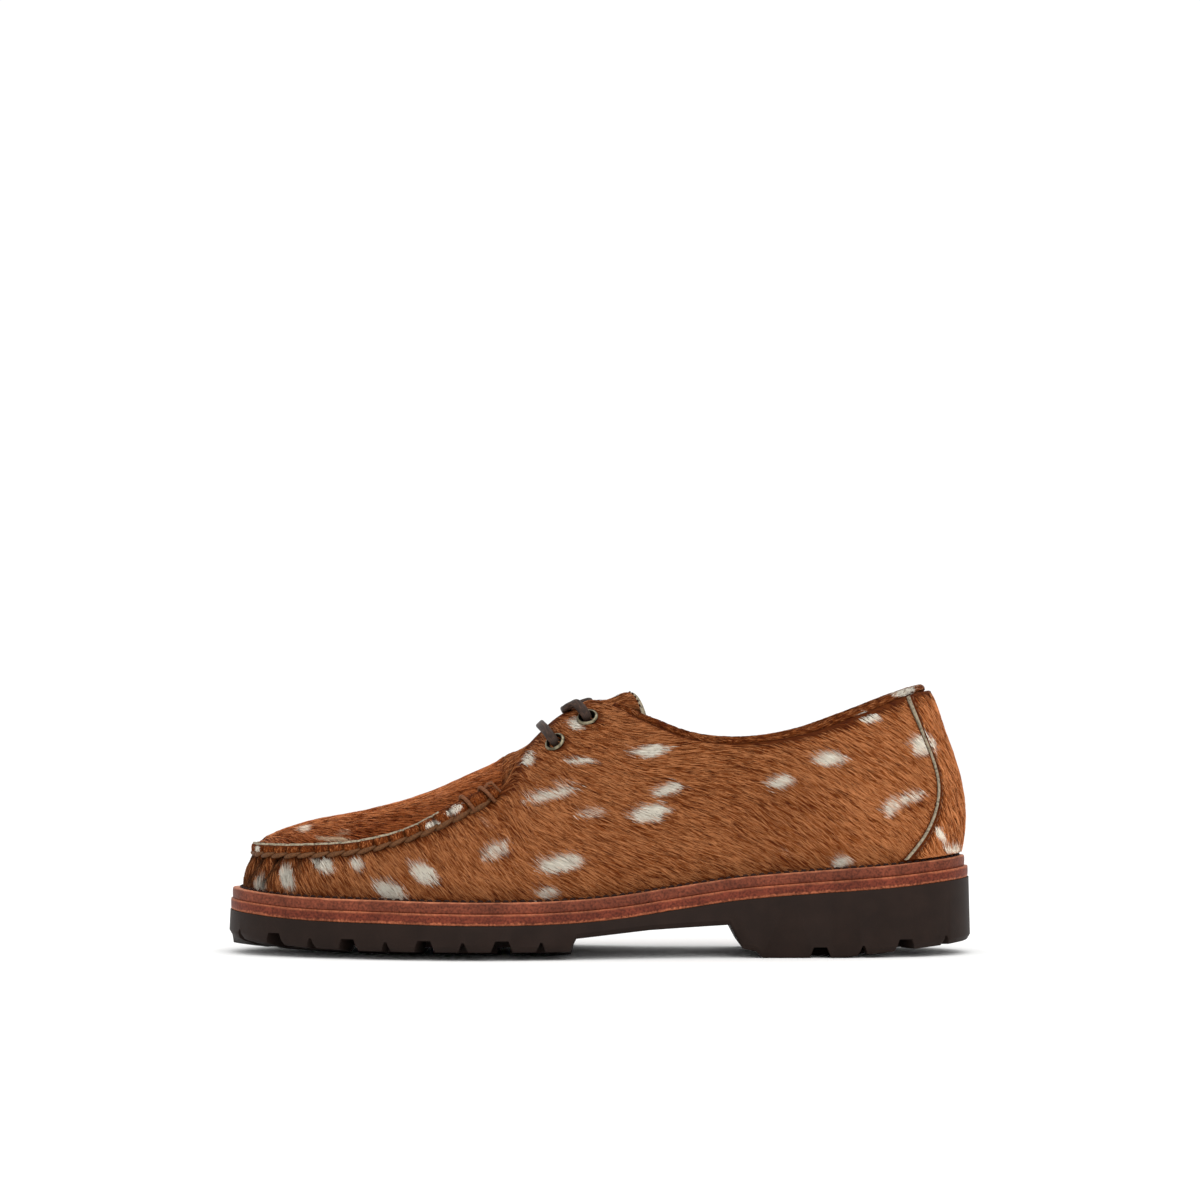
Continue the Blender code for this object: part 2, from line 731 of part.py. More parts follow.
def edge_run(first, last, steps):
    """Points and frames along the upper's top edge, up the outer side and down the inner."""
    numbers = row_numbers(first, last, steps)
    stops = [(row, LATERAL) for row in numbers] + [(row, MEDIAL) for row in numbers[-2::-1]]
    if first == 0:
        stops = [(row, LATERAL) for row in reversed(numbers)] + [(row, MEDIAL) for row in numbers[1:]]
    path = [section_point(row, side, 1.0) for row, side in stops]
    frames = []
    for i, (row, side) in enumerate(stops):
        ahead = (path[min(i + 1, len(path) - 1)] - path[max(i - 1, 0)]).normalized()
        climb = (path[i] - section_point(row, side, 0.96)).normalized()
        frames.append((ahead, climb))
    return path, frames


def make_seam_lip(parts, material):
    """The raised seam where the wall is gathered and sewn to the apron. It stands over the joint."""
    path, runs = edge_run(0, SEAM_END_ROW, STEPS_PER_ROW)
    frames = []
    for ahead, climb in runs:
        up = (UP - ahead * ahead.z).normalized()
        frames.append((up.cross(ahead).normalized(), up))
    section = (
        (SEAM_LIP_OUTER, -0.5),
        (SEAM_LIP_OUTER + 0.15, SEAM_LIP_HEIGHT * 0.45),
        (SEAM_LIP_OUTER - 0.1, SEAM_LIP_HEIGHT * 0.9),
        (SEAM_LIP_OUTER - 0.9, SEAM_LIP_HEIGHT),
        (-SEAM_LIP_INNER, SEAM_LIP_HEIGHT * 0.85),
        (-SEAM_LIP_INNER, SEAM_LIP_INNER + 0.85),
        (0.2, 0.8),
    )
    bm = bmesh.new()
    sweep(bm, path, frames, section)
    return make_object("moc_seam", bm, parts, material)


def make_binding(parts, material):
    """The folded binding on the collar's edge."""
    path, runs = edge_run(CORNER_ROW + 0.25, LAST_ROW, 4)
    frames = []
    centred = []
    for point, (ahead, climb) in zip(path, runs):
        across = ahead.cross(climb).normalized()
        up = across.cross(ahead).normalized()
        frames.append((across, up))
        centred.append(point + across * inner_sign(point, across) * UPPER_WALL / 2)
    bm = bmesh.new()
    sweep(bm, centred, frames, rounded_section(BINDING_WIDTH, BINDING_HEIGHT, FIT_GAP + 0.1))
    return make_object("collar_binding", bm, parts, material)


def inner_sign(point, across):
    """1 where across points into the shoe, -1 where it points out."""
    middle = Vector((70.0 if point.x > 70.0 else point.x, 0.0, point.z))
    return 1 if across.dot(middle - point) > 0 else -1


def make_heel_strip(parts, material):
    """The strip that covers the back seam, wide at its foot and narrow at its middle."""
    bm = bmesh.new()
    rows = []
    steps, across = 10, 5
    for j in range(steps + 1):
        share = 0.02 + 0.95 * j / steps
        reach = value_at(HEEL_STRIP, "share", "sections", share)
        stops = [(LAST_ROW - reach * (1 - i / across), LATERAL) for i in range(across + 1)]
        stops += [(LAST_ROW - reach * i / across, MEDIAL) for i in range(1, across + 1)]
        points = []
        for row, side in stops:
            points.append(section_point(row, side, share) + section_normal(row, side, share) * FIT_GAP * 2)
        rows.append([bm.verts.new(p) for p in points])
    add_rows(bm, rows)
    bmesh.ops.recalc_face_normals(bm, faces=bm.faces)
    bm.faces.ensure_lookup_table()
    middle = max(bm.faces, key=lambda face: face.calc_center_median().x)
    if middle.normal.x < 0:
        bmesh.ops.reverse_faces(bm, faces=bm.faces)
    strip = make_object("heel_strip", bm, parts, material)
    shell = strip.modifiers.new("leather", "SOLIDIFY")
    shell.thickness = HEEL_STRIP_THICKNESS * MM
    shell.offset = 1.0
    shell.use_even_offset = True
    return strip


def make_tongue(parts, material):
    """The tongue: it carries on from the apron, dips under both facings and stands above the throat."""
    bm = bmesh.new()
    rows = []
    for row in [r.section for r in TONGUE]:
        level, tuck, arch = (value_at(TONGUE, "section", name, row) for name in ("level", "tuck", "arch"))
        edges = {}
        for side in (LATERAL, MEDIAL):
            low = share_below_edge(row, side, max(tuck, 0.0))
            shares = [low + (1.0 - low) * i / 3 for i in range(4)] if tuck > 0 else [1.0]
            edges[side] = []
            for share in shares:
                point = section_point(row, side, share) - section_normal(row, side, share) * level
                edges[side].append(point)
        start, end = edges[LATERAL][-1], edges[MEDIAL][-1]
        spare = max(-tuck, 0.0) / (end - start).length
        count = TONGUE_STEPS - 2 * len(edges[LATERAL])
        middle = []
        for i in range(count + 2):
            t = spare + (1 - 2 * spare) * i / (count + 1)
            point = start.lerp(end, t)
            point.z += arch * (end - start).length * (1 - abs(2 * t - 1) ** 2.2)
            middle.append(point)
        rows.append(edges[LATERAL][:-1] + middle + edges[MEDIAL][-2::-1])
    base = rows[-1]
    ahead = [(b - a).normalized() for a, b in zip(rows[-2], base)]
    sides = [abs(2 * i / (len(base) - 1) - 1) for i in range(len(base))]
    rise = [TONGUE_RISE[0] + (TONGUE_RISE[1] - TONGUE_RISE[0]) * side for side in sides]
    for share in (0.5, 1.0):
        rows.append([p + d * r * share for p, d, r in zip(base, ahead, rise)])
    add_rows(bm, [[bm.verts.new(p) for p in row] for row in rows])
    bmesh.ops.recalc_face_normals(bm, faces=bm.faces)
    bm.faces.ensure_lookup_table()
    if bm.faces[len(bm.faces) // 2].normal.z < 0:
        bmesh.ops.reverse_faces(bm, faces=bm.faces)
    tongue = make_object("tongue", bm, parts, material)
    shell = tongue.modifiers.new("leather", "SOLIDIFY")
    shell.thickness = TONGUE_THICKNESS * MM
    shell.offset = -1.0
    shell.use_even_offset = True
    return tongue


def make_laces(parts, material):
    """Two flat lace bars over the throat, each from eyelet to eyelet."""
    places = {label: (centre, normal) for label, centre, normal in eyelet_places()}
    half, thick = LACE_WIDTH / 2, LACE_THICKNESS / 2
    section = ((-half, -thick * 0.5), (-half * 0.8, -thick), (half * 0.8, -thick), (half, -thick * 0.5))
    section += tuple((-a, -b) for a, b in section)
    for pair in EYELETS:
        row = pair.bar_section
        ridge = (section_normal(row, LATERAL, 0.97) + section_normal(row, MEDIAL, 0.97)).normalized()
        arms = {}
        for side, name in ((LATERAL, "outer_"), (MEDIAL, "inner_")):
            centre, normal = places[name + pair.label]
            edge = section_point(row, side, 1.0)
            edge_normal = (section_normal(row, side, 0.97) + ridge).normalized()
            foot = centre + normal * (LACE_THICKNESS / 2 + 1.7)
            halfway = centre.lerp(edge, 0.55) + normal * (LACE_THICKNESS / 2 + 2.3)
            arms[side] = [foot, halfway, edge + edge_normal * pair.edge_lift]
        middle = (section_point(row, LATERAL, 1.0) + section_point(row, MEDIAL, 1.0)) / 2
        path = arms[LATERAL] + [middle + ridge * pair.middle_lift] + arms[MEDIAL][::-1]
        beside = section_point(row + 0.2, LATERAL, 1.0) - section_point(row - 0.2, LATERAL, 1.0)
        frames = []
        for i in range(len(path)):
            ahead = (path[min(i + 1, len(path) - 1)] - path[max(i - 1, 0)]).normalized()
            up = ahead.cross(beside).normalized()
            up = -up if up.z < 0 else up
            frames.append((ahead.cross(up).normalized(), up))
        bm = bmesh.new()
        sweep(bm, path, frames, section)
        make_object("lace_bar_" + pair.label, bm, parts, material)


def main():
    for obj in list(bpy.data.objects):
        bpy.data.objects.remove(obj)
    parts = bpy.data.collections.new("moc_toe_shoe")
    cutters = bpy.data.collections.new("cutters")
    for collection in (parts, cutters):
        bpy.context.scene.collection.children.link(collection)
    cutters.hide_render = True
    hair_hide = make_material("hair_on_hide", (0.28, 0.09, 0.025), 0.65)
    edge_leather = make_material("edge_leather", (0.2, 0.055, 0.025), 0.5)
    lining_leather = make_material("lining_leather", (0.42, 0.24, 0.12), 0.6)
    lug_rubber = make_material("lug_rubber", (0.025, 0.018, 0.014), 0.75)
    lace_leather = make_material("lace_leather", (0.06, 0.035, 0.022), 0.6)
    antique_brass = make_material("antique_brass", (0.3, 0.24, 0.15), 0.35, 1.0)
    make_outsole(parts, cutters, lug_rubber)
    make_midsole(parts, edge_leather)
    make_welt(parts, edge_leather)
    make_insole(parts, lining_leather)
    make_upper(parts, cutters, hair_hide)
    make_seam_lip(parts, hair_hide)
    make_binding(parts, hair_hide)
    make_heel_strip(parts, hair_hide)
    make_tongue(parts, hair_hide)
    make_eyelets(parts, antique_brass)
    make_laces(parts, lace_leather)


main()
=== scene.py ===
"""Looks of a left moc-toe lace-up shoe in spotted hair-on calf, on a welted rubber lug sole.

The toe points along -X, the outer side of the foot along -Y, and the floor is the plane z = 0.
Shapes are worked out in millimetres and become metres when a mesh is made.
"""

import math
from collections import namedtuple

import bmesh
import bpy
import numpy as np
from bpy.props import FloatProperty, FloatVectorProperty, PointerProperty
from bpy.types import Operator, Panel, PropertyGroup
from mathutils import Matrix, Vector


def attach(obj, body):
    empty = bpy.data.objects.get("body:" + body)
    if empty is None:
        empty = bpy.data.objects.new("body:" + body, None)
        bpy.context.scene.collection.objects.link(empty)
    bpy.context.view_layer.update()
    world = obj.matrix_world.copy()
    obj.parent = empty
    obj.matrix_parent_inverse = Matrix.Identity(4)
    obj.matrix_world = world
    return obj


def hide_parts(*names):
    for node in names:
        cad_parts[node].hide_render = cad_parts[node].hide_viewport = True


bl_info = {
    "name": "Spotted calf moc-toe shoe",
    "version": (1, 0, 0),
    "blender": (4, 5, 0),
    "location": "View3D > Sidebar > Shoe",
    "description": "Dresses the solids of a moc-toe shoe in hair-on calf, leather, rubber and brass",
    "category": "Object",
}

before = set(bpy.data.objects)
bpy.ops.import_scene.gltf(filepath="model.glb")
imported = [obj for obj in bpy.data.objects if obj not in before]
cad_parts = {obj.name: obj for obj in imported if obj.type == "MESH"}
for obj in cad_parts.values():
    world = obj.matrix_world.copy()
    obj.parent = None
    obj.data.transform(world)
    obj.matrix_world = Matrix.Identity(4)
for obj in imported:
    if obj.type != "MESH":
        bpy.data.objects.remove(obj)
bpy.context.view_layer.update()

MM = 0.001
UP = np.array((0.0, 0.0, 1.0))
LATERAL, MEDIAL = -1.0, 1.0

# Sizes of the last and the sole, in millimetres
SOLE_LENGTH = 300.8
TOE_SWING = 5.0
WELT_THICKNESS = 4.2
MIDSOLE_THICKNESS = 4.2
INSOLE_THICKNESS = 2.5
WELT_WIDTH = 15.0
WELT_SETBACK = (1.4, 2.4)
MIDSOLE_SETBACK = (0.7, 1.0)
UPPER_WALL = 2.2
FIT_GAP = 0.3
SEAM_END_ROW = 6.0
CORNER_ROW = 10.0
LAST_ROW = 18.0
FOOT_REACH = 0.38
TONGUE_RISE = (13.6, 20.4)
TONGUE_SLOPE = (0.5, -0.1)
TONGUE_THICKNESS = 1.8
HEEL_STRIP_OFFSET = 0.6
HEEL_STRIP_SHARES = (0.02, 0.995)
EYELET_FLANGE_RADIUS = 4.4
EYELET_HOLE_RADIUS = 2.4
EYELET_BARREL_RADIUS = 2.8

# The photograph's camera, and the side of its square picture in pixels
PICTURE = 1200.0
CAMERA_PLACE = (0.4, -1100.0, 78.0)
CAMERA_LENS = 81.28
CAMERA_SENSOR = 36.0
CAMERA_SHIFT = 0.133


def linear(code):
    """The linear colour of an sRGB hex value."""
    values = [int(code[i : i + 2], 16) / 255 for i in (1, 3, 5)]
    return tuple(v / 12.92 if v <= 0.04045 else ((v + 0.055) / 1.055) ** 2.4 for v in values)


class Table:
    """Smooth curves through the columns of a short table, read by its first column."""

    def __init__(self, names, *rows):
        columns = np.array(rows, float).T
        self.keys = columns[0]
        for name, values in zip(names.split()[1:], columns[1:]):
            setattr(self, name, self.curve(values))

    def curve(self, values):
        """A function that reads one column between its rows."""
        keys = self.keys
        places = np.arange(len(keys))
        before = np.maximum(places - 1, 0)
        after = np.minimum(places + 1, len(keys) - 1)
        slopes = (values[after] - values[before]) / (keys[after] - keys[before])

        def read(at):
            at = np.clip(at, keys[0], keys[-1])
            i = np.searchsorted(keys[1:-1], at)
            span = keys[i + 1] - keys[i]
            t = (at - keys[i]) / span
            bend = slopes[i] * t * (1 - t) ** 2 - slopes[i + 1] * t * t * (1 - t)
            ends = values[i] * (1 + 2 * t) * (1 - t) ** 2 + values[i + 1] * t * t * (3 - 2 * t)
            return ends + span * bend

        return read


# Half widths of the rubber sole beside its centre line, kept as squares, which gives round ends
OUTLINE_HALVES = (
    (0.00, 0.0, 0.0),
    (0.02, 20.0, 19.4),
    (0.06, 31.3, 30.2),
    (0.15, 44.0, 43.0),
    (0.24, 51.5, 50.0),
    (0.33, 55.0, 51.4),
    (0.42, 52.0, 46.5),
    (0.52, 44.8, 38.5),
    (0.62, 38.8, 34.2),
    (0.72, 36.4, 35.0),
    (0.82, 36.6, 36.2),
    (0.90, 33.0, 33.0),
    (0.96, 24.2, 24.2),
    (0.985, 15.8, 15.8),
    (1.00, 0.0, 0.0),
)
OUTLINE = Table("along lateral medial", *((a, out**2, into**2) for a, out, into in OUTLINE_HALVES))
WELT = Table(
    "x height",
    (-150.0, 26.6),
    (-120.0, 24.0),
    (-85.0, 23.1),
    (-50.0, 22.5),
    (-20.0, 22.8),
    (5.0, 24.4),
    (30.0, 28.0),
    (55.0, 31.6),
    (85.0, 34.2),
    (115.0, 36.3),
    (150.0, 39.9),
)
FEATHER = Table("along margin", (0.0, 5.2), (0.2, 5.2), (0.5, 4.4), (0.8, 3.9), (1.0, 5.2))

# Sections of the upper from the toe to the back of the heel, as the solids have them; only number 9
# is fuller, by 1 mm
SECTIONS = Table(
    "row foot x half z foot_lean top_lean top_reach",
    (0, 0.0, -141.0, 0.0, 40.8, 84.0, 66.0, 0.30),
    (1, 19.0, -134.7, 18.6, 40.7, 84.0, 66.0, 0.30),
    (2, 35.0, -118.0, 30.6, 40.8, 82.0, 64.0, 0.30),
    (3, 50.0, -94.0, 37.4, 42.6, 80.0, 60.0, 0.30),
    (4, 61.0, -72.5, 37.8, 48.4, 80.0, 56.0, 0.30),
    (5, 69.0, -53.0, 34.4, 57.4, 80.0, 52.0, 0.28),
    (6, 75.0, -38.5, 29.0, 65.6, 80.0, 46.0, 0.26),
    (7, 78.5, -32.6, 17.0, 77.6, 80.0, 32.0, 0.24),
    (8, 82.5, -26.8, 10.0, 85.9, 82.0, 22.0, 0.24),
    (9, 87.0, -14.4, 8.0, 96.7, 82.0, 18.0, 0.24),
    (10, 92.5, 1.0, 8.5, 101.0, 82.0, 22.0, 0.24),
    (11, 100.0, 18.5, 17.5, 93.3, 82.0, 45.0, 0.26),
    (12, 108.0, 37.0, 25.5, 86.2, 80.0, 66.0, 0.30),
    (13, 118.0, 58.0, 29.8, 84.5, 78.0, 80.0, 0.33),
    (14, 130.0, 81.0, 31.0, 88.1, 76.0, 80.0, 0.33),
    (15, 142.0, 102.0, 27.5, 95.3, 75.0, 76.0, 0.33),
    (16, 155.0, 119.0, 19.0, 102.0, 75.0, 72.0, 0.35),
    (17, 167.5, 129.3, 9.5, 105.2, 75.0, 70.0, 0.35),
    (18, 180.0, 132.8, 0.0, 105.6, 75.0, 69.0, 0.35),
)
# How the apron rises over a straight line between its seams, and how full that curve and the tongue's are
APRON = Table("row crown", (0, 0.0), (1, 6.0), (2, 11.8), (3, 14.7), (4, 14.8), (5, 14.1), (6, 13.3))
ARCH_FULLNESS = 2.2
# Half the heel strip's width in sections, by the share of the wall's height
HEEL_STRIP = Table(
    "share sections",
    (0.0, 2.9),
    (0.16, 2.34),
    (0.32, 1.9),
    (0.45, 1.68),
    (0.6, 1.6),
    (0.8, 1.62),
    (0.97, 1.7),
)
# The tongue under the facings: how far it lies below them, how deep it tucks in, and its arch between them
TONGUE = Table(
    "row level tuck arch",
    (6.22, 0.3, -1.2, 0.231),
    (6.45, 1.6, -0.9, 0.240),
    (6.75, 2.9, 0.3, 0.238),
    (7.20, 2.9, 6.0, 0.195),
    (7.70, 2.9, 11.0, 0.17),
    (8.30, 2.9, 14.0, 0.16),
    (9.00, 3.1, 15.0, 0.22),
    (9.60, 3.7, 15.0, 0.37),
    (10.0, 4.4, 15.0, 0.36),
)
# Where the tongue starts under the apron: section and drop; and the share of its free part at its cut edge
TONGUE_ROOT = ((5.85, 0.5), (5.95, 0.2), (6.0, 0.0))
TONGUE_EDGE = 0.89
# The share of its free part where the tongue has turned its own way, and its droop: slope, start and reach
TONGUE_TURN = 0.35
TONGUE_DROOP = (0.4, 0.55, 0.4)

# Each pair of eyelets: name, section, distance from the facing's edge, section where the lace crosses that
# edge, the lace's rise halfway to the edge, its height over the edge and over the middle, and its rise over
# the inner facing, where 0 keeps it like the outer one
EYELET_PAIRS = (
    ("lower", 8.60, 15.0, 8.42, 0.3, 1.5, 2.0, 0.0),
    ("upper", 9.53, 10.9, 9.12, 2.2, 1.3, 1.4, 5.6),
)

# How the hair lies on the wall: degrees above the level way to the heel, at the wall's foot, middle and top
HAIR_FLOW = Table(
    "x low middle high",
    (-142.0, -92.0, -92.0, -92.0),
    (-130.0, -80.0, -82.0, -84.0),
    (-112.0, -55.0, -56.0, -58.0),
    (-90.0, -47.0, -47.0, -49.0),
    (-65.0, -38.0, -42.0, -47.0),
    (-42.0, -32.0, -41.0, -40.0),
    (-25.0, -31.0, -32.0, -14.0),
    (5.0, -34.0, -15.0, 9.0),
    (46.0, -25.0, -28.0, -7.0),
    (79.0, -34.0, -36.0, -24.0),
    (110.0, -33.0, -32.0, -35.0),
    (147.0, -50.0, -45.0, -45.0),
)
APRON_FLOW = 34.0

# Cream spots of the coat, by the photograph's pixels: centre, length, height, tilt and share of cream hairs
SPOTS = (
    (305, 828, 13, 7, 10, 1.0),
    (334, 839, 40, 5, -3, 0.8),
    (343, 833, 16, 6, 25, 0.45),
    (441, 794, 24, 9, 15, 0.25),
    (324, 865, 23, 15, -15, 1.0),
    (357, 864, 14, 12, 0, 1.0),
    (424, 874, 29, 19, -25, 1.0),
    (391, 892, 36, 18, -20, 1.0),
    (287, 878, 15, 27, 15, 1.0),
    (259, 886, 13, 18, 0, 0.85),
    (257, 849, 7, 7, 0, 0.8),
    (433, 825, 15, 7, 10, 1.0),
    (454, 810, 20, 9, 28, 0.8),
    (487, 823, 18, 9, -30, 0.3),
    (652, 751, 38, 13, 10, 1.0),
    (581, 761, 31, 6, 3, 0.9),
    (549, 795, 56, 8, 13, 1.0),
    (566, 783, 26, 8, 8, 0.4),
    (592, 813, 32, 9, 12, 0.5),
    (669, 789, 33, 11, 18, 1.0),
    (651, 813, 38, 17, 15, 1.0),
    (561, 864, 46, 17, 13, 1.0),
    (496, 851, 34, 14, 28, 0.6),
    (548, 893, 24, 9, 20, 0.9),
    (528, 758, 10, 17, -25, 1.0),
    (576, 724, 14, 13, 0, 0.9),
    (868, 717, 23, 11, 0, 1.0),
    (830, 759, 34, 14, 5, 1.0),
    (781, 782, 28, 12, 22, 0.85),
    (924, 745, 24, 20, 0, 1.0),
    (892, 807, 22, 10, 45, 1.0),
    (909, 798, 34, 7, 20, 1.0),
    (842, 862, 20, 10, 22, 0.9),
    (786, 853, 16, 6, 20, 0.3),
    (905, 692, 24, 9, 18, 1.0),
    (941, 835, 8, 18, 35, 0.8),
    (953, 850, 18, 8, 0, 0.9),
)

# How far the inner side's spots lie at most from the outer side's, in pixels, and the share of a spot's
# size over which it fades
INNER_SHIFT = (22.0, 8.0)
SPOT_FADE = 0.42

# Main troughs of the gathered toe: section at the seam, width, depth and the share of the wall where they
# run out
TOE_TROUGHS = (
    (0.50, 2.8, 1.1, 0.25),
    (1.04, 3.6, 2.2, 0.05),
    (1.55, 3.4, 2.0, 0.05),
    (1.98, 2.8, 0.9, 0.35),
    (2.36, 2.6, 0.6, 0.45),
)
# How many sections the troughs lean to the toe on their way down, and the share of the wall they grow over
TROUGH_LEAN = 0.45
TROUGH_RISE = 0.5
# Folds under the stitches: their depth, the share of the wall where they start and the share they grow
# over, and the section where they start to fade and the sections they fade over
GATHER_DEPTH = 0.28
GATHER_RISE = (0.3, 0.6)
GATHER_FADE = (1.6, 2.6)
# How far the wall is drawn in at the toe, and the section where that ends
TOE_PULL = (0.8, 1.6)
# How much longer the seam's stitches grow, from what length along it and over what length
STITCH_GROWTH = (0.37, 88.0, 36.0)


# Geometry of the last, on arrays of places


def vec(x, y, z):
    """Points from arrays of coordinates."""
    return np.stack(np.broadcast_arrays(x, y, z), axis=-1).astype(float)


def unit(vectors):
    """Vectors of length 1."""
    return vectors / np.maximum(np.linalg.norm(vectors, axis=-1, keepdims=True), 1e-9)


def dot(a, b):
    """Scalar products of rows of vectors."""
    return np.sum(a * b, axis=-1)


def walked(points):
    """Lengths along a row of points."""
    steps = np.linalg.norm(np.diff(points, axis=0), axis=-1)
    return np.concatenate(([0.0], np.cumsum(steps)))


def read_path(at, lengths, values):
    """Points or directions at lengths along a row of them."""
    return np.column_stack([np.interp(at, lengths, values[:, i]) for i in range(3)])


def ramp(t):
    """A soft ramp from 0 to 1."""
    t = np.clip(t, 0.0, 1.0)
    return t * t * (3 - 2 * t)


def centre_line(x):
    """The last's centre line, which swings to the inner side at the toe."""
    return TOE_SWING * ramp((20.0 - x) / 190.0)


def along_of(angle):
    """The share of the sole's length at an angle round its outline, 0 at the toe to 180 at the heel."""
    return (1 - np.cos(np.radians(angle))) / 2


def outline(angle, side):
    """Points of the rubber's outline."""
    along = along_of(angle)
    x = (along - 0.5) * SOLE_LENGTH
    squares = np.where(side < 0, OUTLINE.lateral(along), OUTLINE.medial(along))
    return vec(x, centre_line(x) + side * np.sqrt(np.maximum(squares, 0.0)), 0.0)


def inset(angle, side, distance):
    """Outline points moved straight inwards."""
    step = 1.5
    inner = np.clip(angle, step, 180 - step)
    ahead = outline(inner + step, side) - outline(inner - step, side)
    inwards = unit(vec(side * ahead[..., 1], -side * ahead[..., 0], 0.0))
    at_end = (angle < step) | (angle > 180 - step)
    straight = vec(np.where(angle < 90, 1.0, -1.0) + 0.0 * side, 0.0, 0.0)
    inwards = np.where((at_end | (side == 0))[..., None], straight, inwards)
    return outline(angle, side) + inwards * np.asarray(distance)[..., None]


def section(row, side, share):
    """Points of the upper's outer face, foot 0 to top 1, and the level directions out of the foot."""
    angle = SECTIONS.foot(row)
    margin = FEATHER.margin(along_of(angle))
    foot = inset(angle, side, margin)
    outwards = unit(foot - inset(angle, side, margin + 5.0))
    foot[..., 2] = WELT.height(foot[..., 0]) + FIT_GAP
    x = SECTIONS.x(row)
    top = vec(x, centre_line(x) + side * SECTIONS.half(row), SECTIONS.z(row))
    chord = np.linalg.norm(top - foot, axis=-1)[..., None]
    lean = np.radians(SECTIONS.foot_lean(row))[..., None]
    top_lean = np.radians(SECTIONS.top_lean(row))[..., None]
    low = foot + (outwards * np.cos(lean) + UP * np.sin(lean)) * chord * FOOT_REACH
    reach = chord * SECTIONS.top_reach(row)[..., None]
    high = top + (outwards * np.cos(top_lean) - UP * np.sin(top_lean)) * reach
    share = np.asarray(share)[..., None]
    rest = 1 - share
    points = foot * rest**3 + low * 3 * rest**2 * share + high * 3 * rest * share**2 + top * share**3
    return points, outwards


def split_row(signed_row):
    """Section numbers and sides of signed section numbers: less than 0 is the outer side."""
    return np.abs(signed_row), np.where(signed_row < 0, LATERAL, MEDIAL)


def seam_line():
    """Signed section numbers along the apron's seam, its points, and its length from the toe."""
    rows = np.linspace(-SEAM_END_ROW, SEAM_END_ROW, 721)
    points = section(*split_row(rows), np.ones_like(rows))[0]
    length = walked(points)
    return rows, points, length - np.interp(0.0, rows, length)


SEAM_ROWS, SEAM_POINTS, SEAM_LENGTHS = seam_line()


def stitch_count(length, pitch):
    """Stitches of the seam from the toe to a length along it; they grow longer towards the rear."""
    lengths = np.linspace(0.0, SEAM_LENGTHS[-1], 400)
    growth, start, reach = STITCH_GROWTH
    stitch = pitch * (1 + growth * ramp((lengths[1:] - start) / reach))
    counts = np.concatenate(([0.0], np.cumsum(np.diff(lengths) / stitch)))
    return np.sign(length) * np.interp(np.abs(length), lengths, counts)


def toe_pull(row):
    """How far the wall is drawn in at the toe."""
    depth, reach = TOE_PULL
    return depth * (1 - ramp(np.abs(row) / reach))


def gathers(row, share, pitch):
    """How far the gathered toe wall stands out, in soft folds under each stitch of the seam."""
    length = np.interp(row, SEAM_ROWS, SEAM_LENGTHS)
    rise = ramp((share - GATHER_RISE[0]) / GATHER_RISE[1])
    fade = 1 - ramp((np.abs(row) - GATHER_FADE[0]) / GATHER_FADE[1])
    out = GATHER_DEPTH * np.cos(2 * math.pi * stitch_count(length, pitch)) * rise * fade
    out = out - toe_pull(row)
    for place, width, depth, foot in TOE_TROUGHS:
        for sign in (LATERAL, MEDIAL):
            lean = np.maximum(place - TROUGH_LEAN * (1 - share), 0.05)
            away = length - np.interp(sign * lean, SEAM_ROWS, SEAM_LENGTHS)
            out = out - depth * np.exp(-((away / width) ** 2) * 2.5) * ramp((share - foot) / TROUGH_RISE)
    return out


def wall_points(rows, shares, pitch):
    """A grid of points on the wall, from the outer heel round the toe to the inner heel."""
    row, side = split_row(rows[:, None])
    points, outwards = section(row, side, shares[None, :])
    return points + outwards * gathers(rows[:, None], shares[None, :], pitch)[..., None]


def wall_place(row, side, share):
    """One point of the plain wall and the outward normal there."""
    step = 0.02
    rows = np.array((row, min(row + step, LAST_ROW), max(row - step, 0.0), row, row))
    shares = np.array((share, share, share, min(share + step, 1.0), max(share - step, 0.0)))
    point, ahead, behind, above, below = section(rows, np.full(5, side), shares)[0]
    return point, unit(np.cross(above - below, ahead - behind) * side)


def share_below_edge(row, side, distance):
    """The share of a section that lies a distance down from its top edge."""
    shares = np.linspace(1.0, 0.3, 500)
    points = section(np.full(500, row), np.full(500, side), shares)[0]
    return float(np.interp(distance, walked(points), shares))


def eyelet_places():
    """Name, centre and outward normal of each eyelet on the wall."""
    places = {}
    for label, row, distance, *_ in EYELET_PAIRS:
        for side, name in ((LATERAL, "outer"), (MEDIAL, "inner")):
            places[f"{name}_{label}"] = wall_place(row, side, share_below_edge(row, side, distance))
    return places


def apron_points(rows, shares):
    """A grid of points on the apron, from its toe, and from the inner seam to the outer."""
    start = section(rows, np.full_like(rows, MEDIAL), np.ones_like(rows))[0][:, None]
    end = section(rows, np.full_like(rows, LATERAL), np.ones_like(rows))[0][:, None]
    points = start + (end - start) * shares[None, :, None]
    points[..., 2] += APRON.crown(rows)[:, None] * (1 - np.abs(2 * shares - 1) ** ARCH_FULLNESS)[None, :]
    return points


def strip_points(spans, shares, lift):
    """A grid of points over the back seam, from the inner to the outer edge of the heel strip."""
    rows = LAST_ROW - np.abs(spans)[:, None] * HEEL_STRIP.sections(shares)[None, :]
    side = np.where(spans > 0, LATERAL, MEDIAL)[:, None] + 0.0 * rows
    share = shares[None, :] + 0.0 * rows
    step = 0.02
    point = section(rows, side, share)[0]
    ahead = point - section(rows - step, side, share)[0]
    above = point - section(rows, side, share - step)[0]
    return point + unit(np.cross(above, ahead) * side[..., None]) * lift[..., None]


